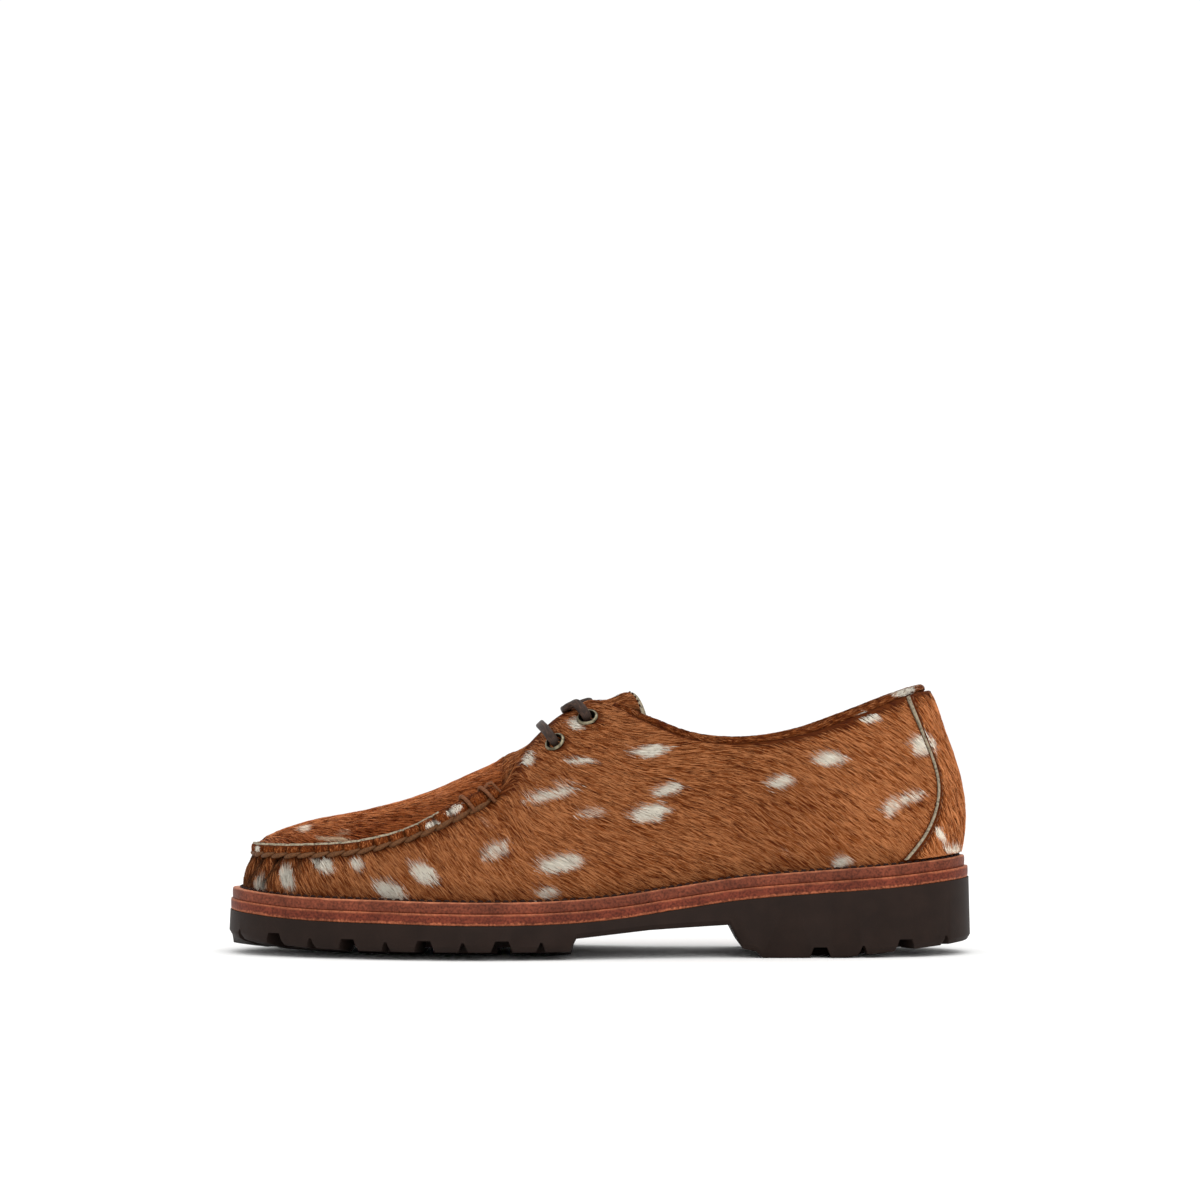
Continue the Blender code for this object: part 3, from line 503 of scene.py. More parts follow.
def tongue_points(steps, tucked, across):
    """A grid of points on the tongue, from the apron's end to its free edge over the instep."""
    spans = np.concatenate((np.zeros(tucked), np.linspace(0, 1, across), np.ones(tucked)))
    rows, drops = np.array(TONGUE_ROOT).T
    grid = list(apron_points(rows, spans) - UP * drops[:, None, None])
    for row in np.linspace(TONGUE.keys[0], TONGUE.keys[-1], steps):
        level, tuck, arch = TONGUE.level(row), TONGUE.tuck(row), TONGUE.arch(row)
        edges = {}
        for side in (LATERAL, MEDIAL):
            low = share_below_edge(row, side, max(tuck, 0.0))
            places = [wall_place(row, side, share) for share in np.linspace(low, 1.0, tucked + 1)]
            edges[side] = [point - normal * level for point, normal in places]
        start, end = edges[MEDIAL][-1], edges[LATERAL][-1]
        width = np.linalg.norm(end - start)
        spare = max(-tuck, 0.0) / width
        spans = np.linspace(spare, 1 - spare, across)
        middle = start + (end - start) * spans[:, None]
        middle[:, 2] += arch * width * (1 - np.abs(2 * spans - 1) ** ARCH_FULLNESS)
        grid.append(np.concatenate((edges[MEDIAL][:-1], middle, edges[LATERAL][-2::-1])))
    # Past the corners of the facings the tongue turns from their way to its own, and droops at its end; its
    # sides run longer than its middle
    start = unit(grid[-1] - grid[-2])
    sides = np.abs(np.linspace(-1, 1, len(grid[-1])))
    rise, slope = (ends[0] + (ends[1] - ends[0]) * sides for ends in (TONGUE_RISE, TONGUE_SLOPE))
    free = unit(vec(1.0, 0.0, slope))
    shares = np.append(np.linspace(0, TONGUE_EDGE, 14), 1.0)
    droop, from_share, reach = TONGUE_DROOP
    for before, after in zip(shares, shares[1:]):
        way = start + (free - start) * ramp(after / TONGUE_TURN)
        way = way - UP * droop * ramp((after - from_share) / reach)
        grid.append(grid[-1] + way * (rise * (after - before))[:, None])
    return np.array(grid)


def seen_at(points):
    """The photograph's pixel where each point shows."""
    depth = points[..., 1] - CAMERA_PLACE[1]
    scale = PICTURE * CAMERA_LENS / CAMERA_SENSOR / depth
    px = PICTURE / 2 + (points[..., 0] - CAMERA_PLACE[0]) * scale
    py = PICTURE * (0.5 + CAMERA_SHIFT) - (points[..., 2] - CAMERA_PLACE[2]) * scale
    return px, py


# Meshes


class Patch:
    """A surface read from a grid of points. Its outer side looks along v cross u."""

    def __init__(self, points):
        self.points = points

    def at(self, u, v):
        """Points at grid places, counted in cells."""
        columns, rows = self.points.shape[:2]
        u = np.clip(u, 0, columns - 1.001)
        v = np.clip(v, 0, rows - 1.001)
        i, j = u.astype(int), v.astype(int)
        s, t = (u - i)[:, None], (v - j)[:, None]
        near = self.points[i, j] * (1 - s) + self.points[i + 1, j] * s
        far = self.points[i, j + 1] * (1 - s) + self.points[i + 1, j + 1] * s
        return near * (1 - t) + far * t

    def slopes(self, u, v):
        """How the surface runs per cell along u and along v."""
        columns, rows = self.points.shape[:2]
        low, high = np.clip(u - 0.5, 0, columns - 1.001), np.clip(u + 0.5, 0, columns - 1.001)
        along = (self.at(high, v) - self.at(low, v)) / (high - low)[:, None]
        low, high = np.clip(v - 0.5, 0, rows - 1.001), np.clip(v + 0.5, 0, rows - 1.001)
        across = (self.at(u, high) - self.at(u, low)) / (high - low)[:, None]
        return along, across

    def scatter(self, density, rng, start=0.0, end=1.0):
        """Random grid places between two shares of u, spread evenly, so many to a square millimetre."""
        along = self.points[1:, :-1] - self.points[:-1, :-1]
        across = self.points[:-1, 1:] - self.points[:-1, :-1]
        area = np.linalg.norm(np.cross(along, across), axis=-1)
        area[: round(len(area) * start)] = 0.0
        area[round(len(area) * end) :] = 0.0
        total = np.cumsum(area.ravel())
        count = int(total[-1] * density)
        picked = np.searchsorted(total, rng.random(count) * total[-1])
        i, j = np.divmod(picked, area.shape[1])
        return i + rng.random(count), j + rng.random(count)


def finish_piece(obj, slot, *nodes):
    """Rides a piece on the shoe's one body and hides the nodes that it stands for; the finish slot is not
    used.
    """
    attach(obj, "root")
    if nodes:
        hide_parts(*nodes)
    return obj


def link_mesh(name, bm, materials):
    """An object from a bmesh in metres, shaded smooth."""
    mesh = bpy.data.meshes.new(name)
    bm.to_mesh(mesh)
    bm.free()
    mesh.shade_smooth()
    for material in materials:
        mesh.materials.append(material)
    obj = bpy.data.objects.new(name, mesh)
    bpy.context.scene.collection.objects.link(obj)
    return obj


def grid_lengths(points):
    """Lengths along a grid's first way, by the longest step in each strip."""
    steps = np.linalg.norm(np.diff(points, axis=0), axis=-1).max(axis=1)
    return np.concatenate(([0.0], np.cumsum(steps)))


def add_grid(bm, points, closed=False, marks=None):
    """Bends a flat grid to points; a closed one is a solid, with its ends filled.

    Its UV map holds lengths along and across in millimetres, or marks across where they are given.
    """
    columns, rows = points.shape[:2]
    layer = bm.loops.layers.uv.get("lengths") or bm.loops.layers.uv.new("lengths")
    made = bmesh.ops.create_grid(bm, x_segments=columns - 1, y_segments=rows - 1, size=1.0)["verts"]
    places = {}
    for vert in made:
        i = round((vert.co.x + 1) / 2 * (columns - 1))
        j = round((vert.co.y + 1) / 2 * (rows - 1))
        places[vert] = (i, j)
        vert.co = points[i, j] * MM
    along = grid_lengths(points)
    across = grid_lengths(points.swapaxes(0, 1)) if marks is None else marks
    faces = {face for vert in made for face in vert.link_faces}
    for face in faces:
        for loop in face.loops:
            i, j = places[loop.vert]
            loop[layer].uv = (along[i], across[j])
    bmesh.ops.reverse_faces(bm, faces=list(faces))
    if closed:
        bmesh.ops.remove_doubles(bm, verts=made, dist=0.002 * MM)
        alive = [vert for vert in made if vert.is_valid]
        ends = [edge for edge in {e for vert in alive for e in vert.link_edges} if edge.is_boundary]
        if ends:
            bmesh.ops.holes_fill(bm, edges=ends)
        whole = list({face for vert in alive for face in vert.link_faces})
        bmesh.ops.recalc_face_normals(bm, faces=whole)


def frames_along(path, beside=None):
    """Directions ahead, aside and up at each point of a path."""
    ahead = unit(np.gradient(path, axis=0))
    if beside is None:
        up = unit(UP - ahead * ahead[:, 2:3])
        return ahead, unit(np.cross(up, ahead)), up
    aside = unit(beside - ahead * np.sum(beside * ahead, axis=-1, keepdims=True))
    return ahead, aside, unit(np.cross(ahead, aside))


def swept(path, aside, up, profile):
    """A grid of points: a closed profile of (aside, up) pairs, or one for each point, along a path."""
    profile = np.broadcast_to(profile, (len(path),) + np.shape(profile)[-2:])
    loop = np.concatenate((profile, profile[:, :1]), axis=1)
    return path[:, None] + aside[:, None] * loop[..., :1] + up[:, None] * loop[..., 1:]


def ring(corners):
    """A circle of (aside, up) pairs, of radius 1."""
    return np.array([(math.cos(a), math.sin(a)) for a in np.linspace(0, 2 * math.pi, corners + 1)[:-1]])


def round_profile(width, height, corner, steps=3):
    """A rectangle of (aside, up) pairs with round corners, about its middle."""
    profile = []
    for turn, (sx, sy) in enumerate(((1, -1), (1, 1), (-1, 1), (-1, -1))):
        for i in range(steps + 1):
            angle = math.radians(-90 + 90 * turn + 90 * i / steps)
            x = sx * (width / 2 - corner) + corner * math.cos(angle)
            profile.append((x, sy * (height / 2 - corner) + corner * math.sin(angle)))
    return profile


def smooth_path(points, count):
    """A smooth path through a few points."""
    points = np.asarray(points, float)
    keys = walked(points)
    route = Table("key x y z", *np.column_stack((keys, points)))
    at = np.linspace(0, keys[-1], count)
    return vec(route.x(at), route.y(at), route.z(at))


def even_path(points, spacing):
    """Points a spacing apart along a path."""
    keys = walked(points)
    at = np.linspace(0, keys[-1], max(2, round(keys[-1] / spacing) + 1))
    return read_path(at, keys, points)


def add_stitches(bm, path, normals, pitch, length, thickness):
    """A row of short thread stitches that dip into the leather at both ends."""
    keys = walked(path)
    profile = ring(6) * 0.5 * thickness
    shares = np.linspace(-0.5, 0.5, 6)
    for middle in np.arange(pitch, keys[-1] - pitch / 2, pitch):
        at = middle + shares * length
        normal = unit(read_path(at, keys, normals))
        centre = read_path(at, keys, path) + normal * thickness * (0.35 - 13.6 * shares**4)[:, None]
        beside = np.cross(unit(np.gradient(centre, axis=0)), normal)
        add_grid(bm, swept(centre, beside, normal, profile), closed=True)


# Coat of hair: strands of a tuft share its tone, and spread over its width and a share of their length.
# A calf's hair is under 0.1 mm thick, too fine to show, so a strand is drawn coarser, for several hairs.
TUFT_STRANDS = 5
TUFT_WIDTH = 0.35
TUFT_LENGTH = 0.35
# How far a strand turns with its tuft and alone, in shares of the coat's spread, and its roll in degrees
STRAND_TURN = (0.6, 0.8)
STRAND_ROLL = 32.0
# Where a strand is widest: shares of its length and of its lift
STRAND_MIDDLE = (0.45, 0.75)
# The least and the greatest share of the coat's length, lift and width that a strand has
LENGTH_SHARES = (0.55, 1.3)
LIFT_SHARES = (0.5, 1.2)
WIDTH_SHARES = (0.6, 1.35)
# A strand's tone, dark 0 to light 1: its mean, how far it varies with its tuft, alone and in patches, and
# the patches' size
TONE_MEAN = 0.3
TONE_VARIES = (0.05, 0.5, 0.1)
TONE_PATCH = 22.0
# The share of its tint that a strand has at its root, middle and tip, the dark root being painted shade
# deep in the coat, and the warm tint round the spots
ROOT_TO_TIP = (0.4, 1.0, 1.25)
FRINGE = 1.4
# The spots' size and how far it varies from strand to strand, the tones of cream strands, how much shorter
# they are, and how cream a place has to be before a strand there turns
SPOT_SIZE = (1.14, 0.13)
CREAM_TONES = (0.82, 1.08)
CREAM_SHORTER = 0.3
CREAM_NEEDED = (0.15, 0.75)


def mottle(points, size, rng):
    """Soft random patches of a size in millimetres, from about -1 to 1."""
    total = np.zeros(len(points))
    for _ in range(7):
        direction = unit(rng.normal(size=3))
        turns = points @ direction * 2 * math.pi / (size * rng.uniform(0.7, 1.8))
        total += np.sin(turns + rng.uniform(0, 2 * math.pi))
    return total / 3


def in_spots(points, ragged):
    """How cream the hair is at each point, from 0 to 1, with a size of the spots for each strand."""
    outer = points[:, 1] < centre_line(points[:, 0])
    px, py = seen_at(np.where(outer[:, None], points, points * (1, -1, 1)))
    cream = np.zeros(len(points))
    for number, (x, y, length, height, tilt, strength) in enumerate(SPOTS):
        x = np.where(outer, x, x + INNER_SHIFT[0] * math.sin(2.4 * number))
        y = np.where(outer, y, y + INNER_SHIFT[1] * math.cos(1.7 * number))
        turn = math.radians(tilt)
        dx, dy = px - x, y - py
        lengthways = (dx * math.cos(turn) + dy * math.sin(turn)) / (length / 2)
        crossways = (dy * math.cos(turn) - dx * math.sin(turn)) / (height / 2)
        inside = ramp((ragged - np.hypot(lengthways, crossways)) / SPOT_FADE)
        cream = np.maximum(cream, strength * inside)
    return cream


# How a stretch of hair grows: strands on a square millimetre, sizes in millimetres, a shade of its tints,
# the spread of its ways in degrees, a share of the tones' contrast, and the part of the patch it covers
Coat = namedtuple(
    "Coat", "density length width lift shade spread contrast part", defaults=(1.0, 5.5, 1.0, (0.0, 1.0))
)


def full_coat(sizes, **changes):
    """The wall's coat, or one that differs from it."""
    lengths = (sizes.hair_length / MM, sizes.hair_width / MM, sizes.hair_lift / MM)
    return Coat(sizes.hair_density, *lengths)._replace(**changes)


def nowhere(points, u, v):
    """Keeps hair off no place."""
    return np.zeros(len(points), bool)


def even(points, u, v):
    """Leaves the hair's tone as it is."""
    return np.ones((len(points), 1))


def grow_hair(name, patch, coat, heading, colours, seed, bare=nowhere, tone=even):
    """Lays tapered strands over a patch.

    heading gives each root's way along u and along v, bare the places without hair, and tone its painted
    shade and light.
    """
    rng = np.random.default_rng(seed)
    tufts = patch.scatter(coat.density / TUFT_STRANDS, rng, *coat.part)
    u, v = (np.repeat(place, TUFT_STRANDS) for place in tufts)
    count = len(u)
    tuft_tone, tuft_turn = (np.repeat(rng.normal(size=len(tufts[0])), TUFT_STRANDS) for _ in range(2))
    along, across = patch.slopes(u, v)
    first = unit(along)
    normal = unit(np.cross(across, along))
    second = np.cross(first, normal)
    root = patch.at(u, v)
    way_u, way_v = heading(root, u, v)
    turn = tuft_turn * STRAND_TURN[0] + rng.normal(size=count) * STRAND_TURN[1]
    turn = np.radians(turn * coat.spread + 3 * mottle(root, 16.0, rng) + 3 * mottle(root, 6.0, rng))
    way_u, way_v = way_u * np.cos(turn) - way_v * np.sin(turn), way_u * np.sin(turn) + way_v * np.cos(turn)
    way = first * way_u[:, None] + second * way_v[:, None]
    sideways = np.cross(way, normal)
    uu, uv, vv = dot(along, along), dot(along, across), dot(across, across)
    area = np.maximum(uu * vv - uv * uv, 1e-6)

    def cells(direction):
        """Cells along u and v for a millimetre along a direction."""
        on_u, on_v = dot(along, direction), dot(across, direction)
        return (vv * on_u - uv * on_v) / area, (uu * on_v - uv * on_u) / area

    step_u, step_v = cells(way)
    side_u, side_v = cells(sideways)
    ahead = rng.normal(size=count) * coat.length * TUFT_LENGTH
    beside = rng.normal(size=count) * TUFT_WIDTH
    u, v = u + step_u * ahead + side_u * beside, v + step_v * ahead + side_v * beside
    root = patch.at(u, v)
    length = coat.length * rng.uniform(*LENGTH_SHARES, count)
    size, varies = SPOT_SIZE
    ragged = size + varies * mottle(root, 3.0, rng) + varies * rng.normal(size=count)
    length *= 1 - CREAM_SHORTER * in_spots(root, ragged)
    for _ in range(5):
        end_u, end_v = u + step_u * length, v + step_v * length
        length = np.where(bare(patch.at(end_u, end_v), end_u, end_v), length * 0.6, length)
    with_tuft, alone, in_patches = TONE_VARIES
    strand = with_tuft * tuft_tone + alone * rng.normal(size=count)
    strand = TONE_MEAN + coat.contrast * strand + in_patches * mottle(root, TONE_PATCH, rng)
    strand = np.clip(strand, 0, 1)[:, None]
    # Pale strands lie over dark ones
    lift = (coat.lift * rng.uniform(*LIFT_SHARES, count) * np.minimum(length / coat.length, 1))[:, None]
    lift = lift * (0.4 + strand)
    part, risen = STRAND_MIDDLE
    middle = patch.at(u + step_u * length * part, v + step_v * length * part) + normal * lift * risen
    tip = patch.at(u + step_u * length, v + step_v * length) + normal * lift
    roll = np.radians(rng.normal(size=count) * STRAND_ROLL)
    aside = sideways * np.cos(roll)[:, None] + normal * np.sin(roll)[:, None]
    aside *= (coat.width * rng.uniform(*WIDTH_SHARES, count) / 2)[:, None]
    dark, mid, light, spot = (np.array(c) for c in colours)
    shade = np.where(strand < 0.5, dark + (mid - dark) * 2 * strand, mid + (light - mid) * (2 * strand - 1))
    spot = spot * rng.uniform(*CREAM_TONES, count)[:, None]
    needed = rng.uniform(*CREAM_NEEDED, count)
    # The painted shade and light, with any tint, that tone gives each place
    light_on = coat.shade * tone(root, u, v)
    tints = []
    for points, factor in zip((root, middle, tip), ROOT_TO_TIP):
        cream = in_spots(points, ragged)
        warm = light * FRINGE + (spot - light * FRINGE) * ramp((cream - 0.15) / 0.45)[:, None]
        pale = np.clip((cream - needed) / 0.25 + 0.5, 0, 1)[:, None]
        # Cream strands keep less of the painted shade at the root
        factor = factor + (1 - factor) * 0.6 * pale
        tints.append((shade + (warm - shade) * pale) * light_on * factor)
    corners = np.stack((root - normal * 0.05, middle - aside, middle + aside, tip), axis=1)
    tints = np.stack((tints[0], tints[1], tints[1], tints[2]), axis=1)
    columns, rows = patch.points.shape[:2]
    inside = (u >= 0) & (u <= columns - 1) & (v >= 0) & (v <= rows - 1)
    kept = inside & ~bare(root, u, v)
    return join_strands(name, corners[kept], tints[kept])


def join_strands(name, corners, tints):
    """One mesh of many thin strands of four corners each, with a colour at each corner."""
    count = len(corners)
    triangles = np.array(((0, 1, 2), (1, 3, 2)))
    loops = (np.arange(count)[:, None, None] * 4 + triangles).ravel()
    mesh = bpy.data.meshes.new(name)
    mesh.vertices.add(count * 4)
    mesh.vertices.foreach_set("co", (corners * MM).astype(np.float32).ravel())
    mesh.loops.add(len(loops))
    mesh.loops.foreach_set("vertex_index", loops.astype(np.int32))
    mesh.polygons.add(count * 2)
    mesh.polygons.foreach_set("loop_start", np.arange(count * 2, dtype=np.int32) * 3)
    mesh.update(calc_edges=True)
    tint = mesh.color_attributes.new(name="tint", type="FLOAT_COLOR", domain="POINT")
    opaque = np.ones((count * 4, 1))
    tint.data.foreach_set("color", np.hstack((tints.reshape(-1, 3), opaque)).astype(np.float32).ravel())
    mesh.shade_smooth()
    obj = bpy.data.objects.new(name, mesh)
    bpy.context.scene.collection.objects.link(obj)
    return obj


# Materials


def add_node(tree, kind, inputs=(), steps=(), **settings):
    """Adds a node with its settings and colour steps; an input is a value, a node or a socket to link."""
    node = tree.nodes.new(kind)
    for name, value in settings.items():
        setattr(node, name, value)
    for name, value in dict(inputs).items():
        if isinstance(value, bpy.types.Node):
            value = value.outputs[0]
        if isinstance(value, bpy.types.NodeSocket):
            tree.links.new(value, node.inputs[name])
        else:
            node.inputs[name].default_value = value
    for number, (place, colour) in enumerate(steps):
        points = node.color_ramp.elements
        point = points[number] if number < len(points) else points.new(1.0)
        point.position = place
        point.color = (*colour, 1.0)
    return node


def start_material(name):
    """A new material and its empty node tree."""
    material = bpy.data.materials.new(name)
    material.use_nodes = True
    material.node_tree.nodes.clear()
    return material, material.node_tree


def shaded(colour, factor):
    """A colour made darker or lighter."""
    return tuple(min(c * factor, 1.0) for c in colour)


def close_material(material, tree, surface):
    """Ends a material with its surface."""
    shader = add_node(tree, "ShaderNodeBsdfPrincipled", surface)
    add_node(tree, "ShaderNodeOutputMaterial", {"Surface": shader})
    return material


def clouded(name, steps, clouds, relief, surface, drawn=None, mapped=False):
    """A material whose colour steps follow a noise, with a relief from the same noise or from a second one.

    Clouds are sizes in millimetres and details. A relief is a strength and a depth in millimetres. Noises
    can be drawn out by scales, and lie on the piece's map of lengths.
    """
    material, tree = start_material(name)
    if mapped:
        place, millimetre = add_node(tree, "ShaderNodeUVMap", uv_map="lengths"), 1.0
    else:
        place, millimetre = add_node(tree, "ShaderNodeTexCoord").outputs["Object"], MM
    if drawn:
        place = add_node(tree, "ShaderNodeMapping", {"Vector": place, "Scale": drawn})
    noises = []
    for size, detail in clouds:
        inputs = {"Vector": place, "Scale": 1 / (size * millimetre), "Detail": detail}
        noises.append(add_node(tree, "ShaderNodeTexNoise", inputs))
    surface["Base Color"] = add_node(tree, "ShaderNodeValToRGB", {"Fac": noises[0]}, steps)
    if relief:
        inputs = {"Height": noises[-1], "Strength": relief[0], "Distance": relief[1] * MM}
        surface["Normal"] = add_node(tree, "ShaderNodeBump", inputs)
    return close_material(material, tree, surface)


# The hide's fibres, the leather's pores, the mould's grain and the threads' fibres are mostly under 0.3 mm,
# too fine to show, so these patterns are drawn coarser


def calf_hair():
    """Short calf hair: each strand has its own tint, with painted shade at its root, and a faint satin
    gleam.
    """
    material, tree = start_material("calf_hair")
    tint = add_node(tree, "ShaderNodeVertexColor", layer_name="tint")
    surface = {"Base Color": tint, "Roughness": 0.5, "Specular IOR Level": 0.03}
    return close_material(material, tree, surface)


def calf_hide(colours):
    """The hide under the hair: a dark undercoat, streaked along the shoe, and painted shade where it is
    left bare.
    """
    steps = ((0.3, shaded(colours.hair_dark, 0.6)), (0.75, shaded(colours.hair_mid, 0.7)))
    surface = {"Roughness": 0.75, "Specular IOR Level": 0.05}
    return clouded("calf_hide", steps, [(0.8, 3.0)], (0.5, 0.3), surface, drawn=(0.2, 0.6, 1.0))


def raw_calf_edge(colours):
    """The hide's cut edge: pale, fibrous and a little soiled."""
    pale = colours.cut_edge
    steps = ((0.34, shaded(pale, 0.35)), (0.48, shaded(pale, 0.85)), (0.68, shaded(pale, 1.2)))
    surface = {"Roughness": 0.85, "Specular IOR Level": 0.12}
    return clouded("raw_calf_edge", steps, [(0.9, 4.0)], (0.6, 0.25), surface)


def smooth_leather(name, colour, grain, roughness):
    """Vegetable-tanned leather: pebbled grain of a size in millimetres, cloudy colour, a soft sheen."""
    steps = ((0.3, shaded(colour, 0.75)), (0.7, shaded(colour, 1.12)))
    surface = {"Roughness": roughness, "Specular IOR Level": 0.3}
    return clouded(name, steps, [(14.0, 5.0), (grain, 2.0)], (0.35, 0.2), surface)


def burnished_edge(name, top, middle, foot):
    """Sole leather with a burnished edge: worn pale rims, purple-brown middle, specks and drawn fibres."""
    material, tree = start_material(name)
    lengths = add_node(tree, "ShaderNodeUVMap", uv_map="lengths")
    place = add_node(tree, "ShaderNodeTexCoord").outputs["Object"]
    drawn = add_node(tree, "ShaderNodeMapping", {"Vector": lengths, "Scale": (0.2, 3.0, 1.0)})
    fibre, speck, stain = (
        add_node(tree, "ShaderNodeTexNoise", {"Vector": on, "Scale": 1 / size, "Detail": detail})
        for on, size, detail in ((drawn, 1.0, 5.0), (place, 0.9 * MM, 3.0), (place, 9.0 * MM, 4.0))
    )
    share = add_node(tree, "ShaderNodeSeparateXYZ", {"Vector": lengths}).outputs["Y"]
    worn = add_node(tree, "ShaderNodeMath", {0: fibre, 1: 0.35, 2: share}, operation="MULTIPLY_ADD")
    worn = add_node(tree, "ShaderNodeMath", {0: speck, 1: 0.25, 2: worn}, operation="MULTIPLY_ADD")
    # The middle of the noises adds 0.3 to the share of the edge's height, which the ramp's 1.5 takes in
    across = add_node(tree, "ShaderNodeMath", {0: worn, 1: 1 / 1.5}, operation="MULTIPLY")
    bands = [(at / 1.5, band) for at, band in ((0.34, top), (0.52, middle), (1.08, middle), (1.24, foot))]
    tint = add_node(tree, "ShaderNodeValToRGB", {"Fac": across}, bands)
    for spots, low, high in ((speck, 0.6, 1.35), (stain, 0.75, 1.2)):
        greys = ((0.35, (low,) * 3), (0.65, (high,) * 3))
        grime = add_node(tree, "ShaderNodeValToRGB", {"Fac": spots}, greys)
        mixed = {"Fac": 1.0, "Color1": tint, "Color2": grime}
        tint = add_node(tree, "ShaderNodeMixRGB", mixed, blend_type="MULTIPLY")
    relief = add_node(tree, "ShaderNodeBump", {"Height": worn, "Strength": 0.5, "Distance": 0.4 * MM})
    surface = {"Base Color": tint, "Normal": relief, "Roughness": 0.55, "Specular IOR Level": 0.12}
    return close_material(material, tree, surface)


def lug_rubber(colours):
    """Moulded brown-black rubber: matt, with the mould's fine grain and a trace of dust."""
    steps = ((0.3, shaded(colours.rubber, 0.85)), (0.75, shaded(colours.rubber, 1.25)))
    surface = {"Roughness": 0.6, "Specular IOR Level": 0.12}
    return clouded("lug_rubber", steps, [(9.0, 6.0), (0.8, 2.0)], (0.3, 0.12), surface)


def antique_brass(name, colour, roughness):
    """Turned brass with a brown patina, bright where it is rubbed; made dark, it is the painted shade
    inside an eyelet.
    """
    steps = ((0.38, shaded(colour, 0.4)), (0.62, tuple(colour)))
    surface = {"Metallic": 1.0, "Roughness": roughness}
    return clouded(name, steps, [(1.6, 4.0)], (0.15, 0.1), surface)


def waxed_thread(name, colour):
    """Waxed linen thread: dull brown, with the fine roughness of its fibres."""
    steps = ((0.3, shaded(colour, 0.5)), (0.7, shaded(colour, 1.3)))
    surface = {"Roughness": 0.65, "Specular IOR Level": 0.15}
    return clouded(name, steps, [(0.6, 3.0)], (0.6, 0.25), surface)


def lace_leather(colours):
    """Oiled rawhide lace: dark brown, with pale rubbed streaks along its length."""
    lace = colours.lace
    steps = ((0.36, shaded(lace, 0.6)), (0.5, tuple(lace)), (0.64, shaded(lace, 2.2)))
    surface = {"Roughness": 0.5, "Specular IOR Level": 0.2}
    drawn = (0.3, 1.6, 1.0)
    return clouded("lace_leather", steps, [(1.0, 5.0)], (0.5, 0.25), surface, drawn, mapped=True)


def pale_floor(colours):
    """A painted studio floor: even, pale and matt, with a barely cloudy tone."""
    steps = ((0.3, shaded(colours.floor, 0.995)), (0.7, tuple(colours.floor)))
    surface = {"Roughness": 0.9, "Specular IOR Level": 0.1}
    return clouded("pale_floor", steps, [(400.0, 2.0)], None, surface)


def shared_material(make, *values):
    """A material that several pieces use, made on first need."""
    found = bpy.data.materials.get(make.__name__)
    return found or make(*values)


# Settings


def length_property(name, description, millimetres):
    """A length setting with its default in millimetres."""
    return FloatProperty(name=name, description=description, default=millimetres * MM, unit="LENGTH")


def colour_property(name, description, code):
    """A colour setting with an sRGB hex default."""
    default = linear(code)
    return FloatVectorProperty(name=name, description=description, default=default, size=3, subtype="COLOR")


class ShoeSizes(PropertyGroup):
    """Sizes of what dresses the shoe."""

    hair_length: length_property("Hair length", "Mean length of the coat's hairs", 6.5)
    hair_width: length_property("Hair width", "Width of a strand of hair", 0.24)
    hair_lift: length_property("Hair lift", "How far the tips stand off the hide", 0.45)
    hair_density: FloatProperty(
        name="Hair density", description="Strands on a square millimetre", default=7.0
    )
    stitch_pitch: length_property("Seam stitch", "Length of the moc seam's stitches at the toe", 6.3)
    seam_thread: length_property("Seam thread", "Thickness of the moc seam's thread", 2.1)
    lace_width: length_property("Lace width", "Width of the lace", 3.8)
    lace_thickness: length_property("Lace thickness", "Thickness of the lace", 2.9)
    welt_stitch: length_property("Welt stitch", "Length of a stitch on the welt", 2.6)


class ShoeColours(PropertyGroup):
    """Colours of the shoe's materials."""

    hair_dark: colour_property("Dark hair", "The coat's darkest strands", "#481a08")
    hair_mid: colour_property("Hair", "The coat's main colour", "#733a16")
    hair_light: colour_property("Light hair", "The coat's palest brown strands", "#a66b43")
    spot: colour_property("Spots", "The cream hair of the spots", "#cdc6b8")
    cut_edge: colour_property("Cut edge", "The raw edge of the hide", "#978b76")
    welt_rim: colour_property("Welt rims", "The worn rims of the welt", "#b67252")
    welt_middle: colour_property("Welt middle", "The burnished middle of the welt", "#683423")
    midsole_rim: colour_property("Midsole rims", "The worn rims of the midsole", "#955438")
    midsole_middle: colour_property("Midsole middle", "The burnished middle of the midsole", "#632c1d")
    rubber: colour_property("Rubber", "The lug sole", "#211611")
    brass: colour_property("Brass", "The eyelets", "#8c836c")
    lace: colour_property("Lace", "The lace", "#2e1f17")
    thread: colour_property("Seam thread", "The waxed thread of the moc seam", "#634026")
    loop_thread: colour_property("Loop thread", "The loops of thread over the seam", "#70462c")
    # The eyelets' hollow is painted shade, a dark brass
    hollow: colour_property("Eyelet hollow", "The blackened inside of the eyelets", "#2a2620")
    # The welt's thread is very dark, with the shade of the groove at the upper's foot painted into it
    welt_thread: colour_property("Welt thread", "The thread on the welt", "#2a1610")
    lining: colour_property("Lining", "The lining and the insole", "#96683f")
    floor: colour_property("Floor", "The studio floor", "#fcfcfb")


def settings(context):
    """The shoe's sizes and colours."""
    return context.scene.shoe_sizes, context.scene.shoe_colours


def strand_colours(colours):
    """The coat's dark, middle, light and cream tints."""
    return [tuple(c) for c in (colours.hair_dark, colours.hair_mid, colours.hair_light, colours.spot)]


def dress(hairs):
    """Gives a stretch of hair its material and its place on the shoe."""
    hairs.data.materials.append(shared_material(calf_hair))
    return finish_piece(hairs, "hair_on_hide")


def finish_thread(name, bm, material, colour):
    """Makes a piece of waxed thread."""
    return finish_piece(link_mesh(name, bm, (waxed_thread(material, colour),)), "edge_leather")


